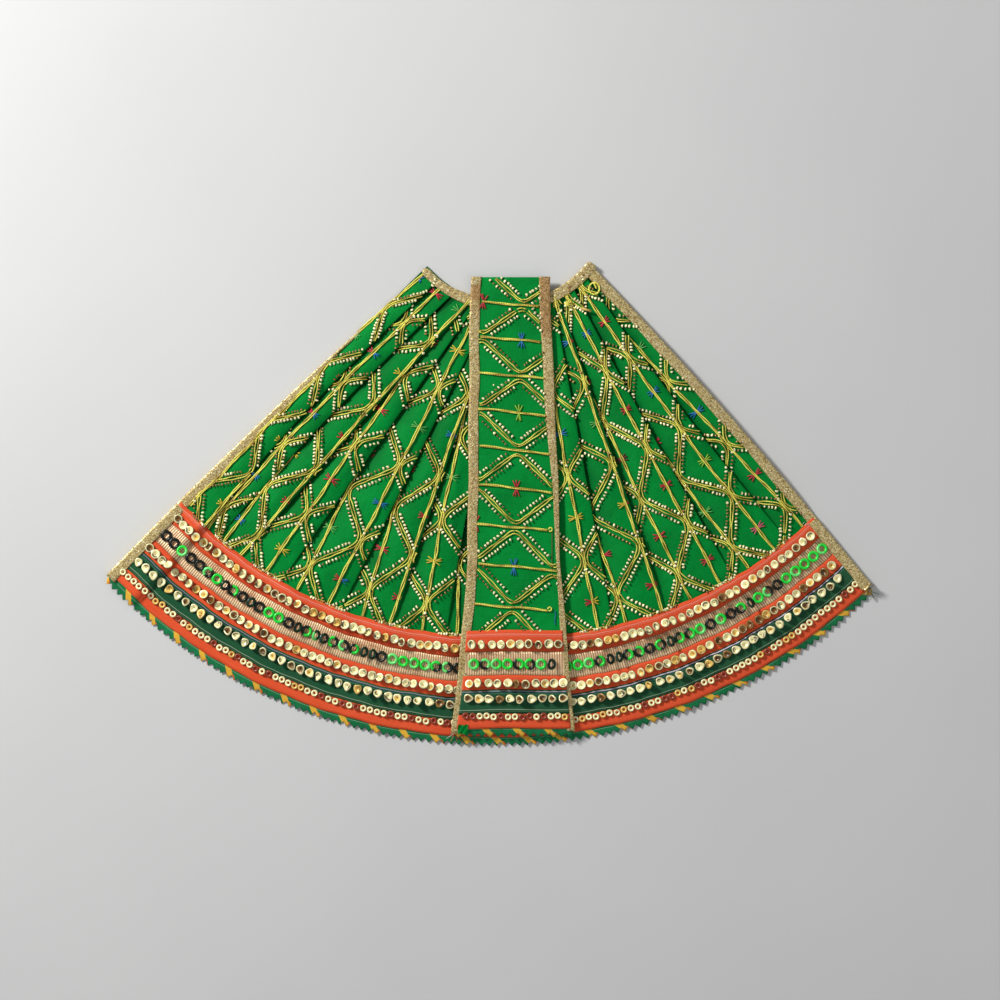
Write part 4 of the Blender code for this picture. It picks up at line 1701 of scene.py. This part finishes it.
def build_skirt():
    cloth = finish_gored(build_skirt_cloth(), "green_satin", "cloth")
    bands = [finish_gored(build_waist_tape(), "gold_tape", "waist_tape")]
    for slot, node, *about in SKIRT_RIBBONS:
        bands.append(finish_gored(build_ribbon(*about), slot, node))
    bands.append(finish_gored(build_frill(), "pinked_green", "frill"))
    cords, beads, stars = Gored(), Gored(), Gored()
    embroider(skirt_surface, (-1, 21), (-1.0, 8.0), ROW_PITCH, cords, beads, (0.06, 0.24))
    for column, words in SKIRT_STARS.items():
        for order, letters in enumerate(words.split()):
            row = column % 2 + 2 * order
            star(stars, column * COLUMN_PITCH, row * ROW_PITCH, skirt_surface, letters)
    golds, rings = Gored(), Gored()
    build_band_sequins(golds, rings)
    rim = []
    for way in np.linspace(0.29, EDGE_BAND_WAY[0] - 0.01, 70):
        edge, _, inward = edge_frame(0, way)
        spot = edge + inward * (tape_width(0, way) + 0.1 + 0.4 * math.sin(way * 60))
        down = way / EDGE_BAND_WAY[0]
        column = nearest_column(0, spot, down)
        rim.append(np.array([spot[0], spot[1], pleat_height(0, column, down) + 0.15]))
    lay_cord(cords, rim, "left_3", 0.4, 0.42, 0.3)
    curl(cords.named("right_3"), WAIST_RING, 3.6, 2.9, 1.15, 0.46, GOLD, 1.2, 3.0)
    for spot, length, tint, thick, spreads in WAIST_ENDS:
        for spread in spreads:
            tip = (spot[0] + length * math.cos(spread), spot[1] + length * math.sin(spread))
            verts, faces, flats = sweep([(*spot, 4.6), (*tip, 4.3)], thick, 6)
            cords.at(spot).add(verts, faces, tint, flats)
    for degrees in TORN_STITCHES:
        x, y = band_xy(degrees, 0.005)
        frays(golds.at((x, y)), (x, y), band_ripple(degrees, 0) + 1.1, math.radians(degrees), 6, 3.6,
              ((244, 244, 240), (214, 210, 214)), 1.2)
    frays(golds.named("right_3"), RIGHT_TAPE_END, 2.2, -0.9, 9, 7.0,
          (PALE_THREAD, TAPE_THREAD, GREEN_THREAD, (150, 60, 70)), 1.4)
    build_gored(cords, "couched_cord", CORD)
    build_gored(beads, "bead_strings", FOIL)
    build_gored(stars, "thread_stars", THREAD)
    build_gored(golds, "gold_sequins", FOIL)
    build_gored(rings, "ring_sequins", FOIL)
    for gore, piece in cloth.items():
        length = 0.245
        [b[gore] for b in bands if gore in b]
    for side, body in ((0, "skirt_left_3"), (1, "skirt_right_3")):
        tape = build_edge_tape(side)
        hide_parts(("left", "right")[side] + "_edge_tape")
        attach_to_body(tape, body)


# Slot, CAD node, name, material, top, bottom, lift off the cloth, rolled edge.
PANEL_RIBBONS = (
    ("copper_tissue", "panel_copper_band", "panel_copper_piece", COPPER_TISSUE, -80.9, -95.4, 0.12, 0.0),
    ("red_ribbon", "panel_red_band", "panel_red_top_piece", RED_TOP, -69.8, -81.6, 0.4, 0.18),
    ("red_ribbon", "panel_lower_band", "panel_red_middle_piece", RED_PLAIN, -94.8, -103.4, 0.4, 0.0),
    ("dark_green_ribbon", "panel_lower_band", "panel_green_piece", DARK_GREEN, -102.6, -116.2, 0.52, 0.0),
    ("red_ribbon", "panel_lower_band", "panel_red_low_piece", RED_PLAIN, -115.6, -124.2, 0.4, 0.0),
)
PANEL_LOOPS = ((33.6, -14.0), (33.2, -58.0))


def build_panel():
    top, low = build_panel_cloth()
    for piece, part, node in ((top, "top", "panel_top_fold"), (low, "low", "panel_cloth")):
        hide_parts(node)
        attach_panel(piece, part)
    tapes = {"top": [], "low": []}
    for side in (0, 1):
        for part, stem in (("top", "panel_top_{}_tape"), ("low", "panel_{}_tape")):
            tape = build_panel_tape(side, part)
            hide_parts(stem.format(("left", "right")[side]))
            attach_panel(tape, part)
            tapes[part].append(tape)
    parts = [(build_panel_ribbon(*about), node, slot) for slot, node, *about in PANEL_RIBBONS]
    parts.append((build_panel_frill(), "panel_frill", "pinked_green"))
    parts.append((build_scrap(), "panel_cloth", "green_satin"))
    for piece, node, slot in parts:
        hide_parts(node)
        attach_panel(piece, "low")
    cords, beads, stars = Gored(), Gored(), Gored()
    golds, rings = Gored(), Gored()
    for part in ("top", "low"):
        def surface(across, down, part=part):
            hit = panel_surface(across, down)
            return hit if hit and split_panel(hit[0][1]) == part else None
        embroider(surface, (-1, 8), (-1.0, 3.0), PANEL_ROW, cords, beads, (0.125, 0.16), part, 0.5,
                  0.26, PANEL_CORD_ENDS)
        for line, letter in enumerate(PANEL_STARS.split(), start=-1):
            if letter != "-":
                for row in range(line % 2, 2, 2):
                    star(stars, line * COLUMN_PITCH, row * PANEL_ROW, surface, letter, part)
    build_panel_sequins(golds, rings)
    for x, y in PANEL_LOOPS:
        curl(cords.named("low"), (x, y), panel_z(x, y) + 0.5, 0.95, 0.95, 0.36, GOLD, -2.4)
    red_thread = [(34.5 - 0.004 * (-16 - y), y, panel_z(34.5, y) + 0.3) for y in range(-16, -37, -2)]
    lay_thread(stars.named("low"), red_thread, 0.2, "d")
    blue_thread = [(36.2 + 0.3 * math.sin(y), y, panel_z(36.2, y) + 0.3) for y in range(-59, -68, -1)]
    lay_thread(stars.named("low"), blue_thread, 0.22, "b")
    frays(golds.named("low"), (-17.5, -126.0), 3.0, -1.9, 10, 8.0,
          (PALE_THREAD, (220, 130, 60), GREEN_THREAD, (200, 60, 50)), 0.8)
    frays(golds.named("low"), (44.0, -125.0), 3.2, -2.4, 5, 6.0,
          (PALE_THREAD, TAPE_THREAD), 0.6)
    for gored, prefix, material, slot in (
            (cords, "panel_cord", CORD, "gold_tape"), (beads, "panel_bead_strings", FOIL, "gold_tape"),
            (stars, "panel_stars", THREAD, "red_ribbon"), (golds, "panel_gold_sequins", FOIL, "gold_tape"),
            (rings, "panel_ring_sequins", FOIL, "green_satin")):
        for part, pile in gored.piles.items():
            piece = pile.build(f"{prefix}_{part}", material)
            attach_panel(piece, part)
    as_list(tapes["top"])


build_skirt()
build_panel()


# ---- Stage, light and camera --------------------------------------------------------

# In metres. The floor lies just under the cloth.
FLOOR_HALF = 3.0
FLOOR_Z = -0.0002


def build_stage():
    mesh = bpy.data.meshes.new("table")
    corners = [(x * FLOOR_HALF, y * FLOOR_HALF, 0) for x, y in ((-1, -1), (1, -1), (1, 1), (-1, 1))]
    mesh.from_pydata(corners, [], [(0, 1, 2, 3)])
    floor = bpy.data.objects.new("table", mesh)
    floor.location.z = FLOOR_Z
    bpy.context.scene.collection.objects.link(floor)
    s = Shader("table_top", Roughness=0.85)
    colour = s.mix(s.noise(6.0), (196, 196, 194), (206, 206, 203))
    s.tree.links.new(colour, s.shader.inputs["Base Color"])
    mesh.materials.append(s.material)


def add_light(name, place, size, power):
    data = bpy.data.lights.new(name, "AREA")
    data.size = size
    data.energy = power
    made = bpy.data.objects.new(name, data)
    made.location = place
    made.rotation_euler = (-Vector(place)).to_track_quat("-Z", "Y").to_euler()
    bpy.context.scene.collection.objects.link(made)


build_stage()
add_light("key", (-0.95, 0.75, 0.78), 0.26, 24.0)
add_light("fill", (0.9, -0.5, 1.2), 1.2, 3.0)
world = bpy.data.worlds.new("studio")
world.use_nodes = True
world.node_tree.nodes["Background"].inputs[0].default_value = (0.93, 0.95, 1.0, 1.0)
world.node_tree.nodes["Background"].inputs[1].default_value = 0.33
bpy.context.scene.world = world

bpy.context.scene.view_settings.view_transform = "Standard"

CAMERA_HEIGHT = 1.6
VIEW_WIDTH = 0.555
camera_data = bpy.data.cameras.new("camera")
camera_data.sensor_width = 36.0
camera_data.lens = 36.0 * CAMERA_HEIGHT / VIEW_WIDTH
camera = bpy.data.objects.new("camera", camera_data)
camera.location = (0.0057, 0.0023, CAMERA_HEIGHT)
bpy.context.scene.collection.objects.link(camera)
bpy.context.scene.camera = camera

bpy.context.view_layer.update()
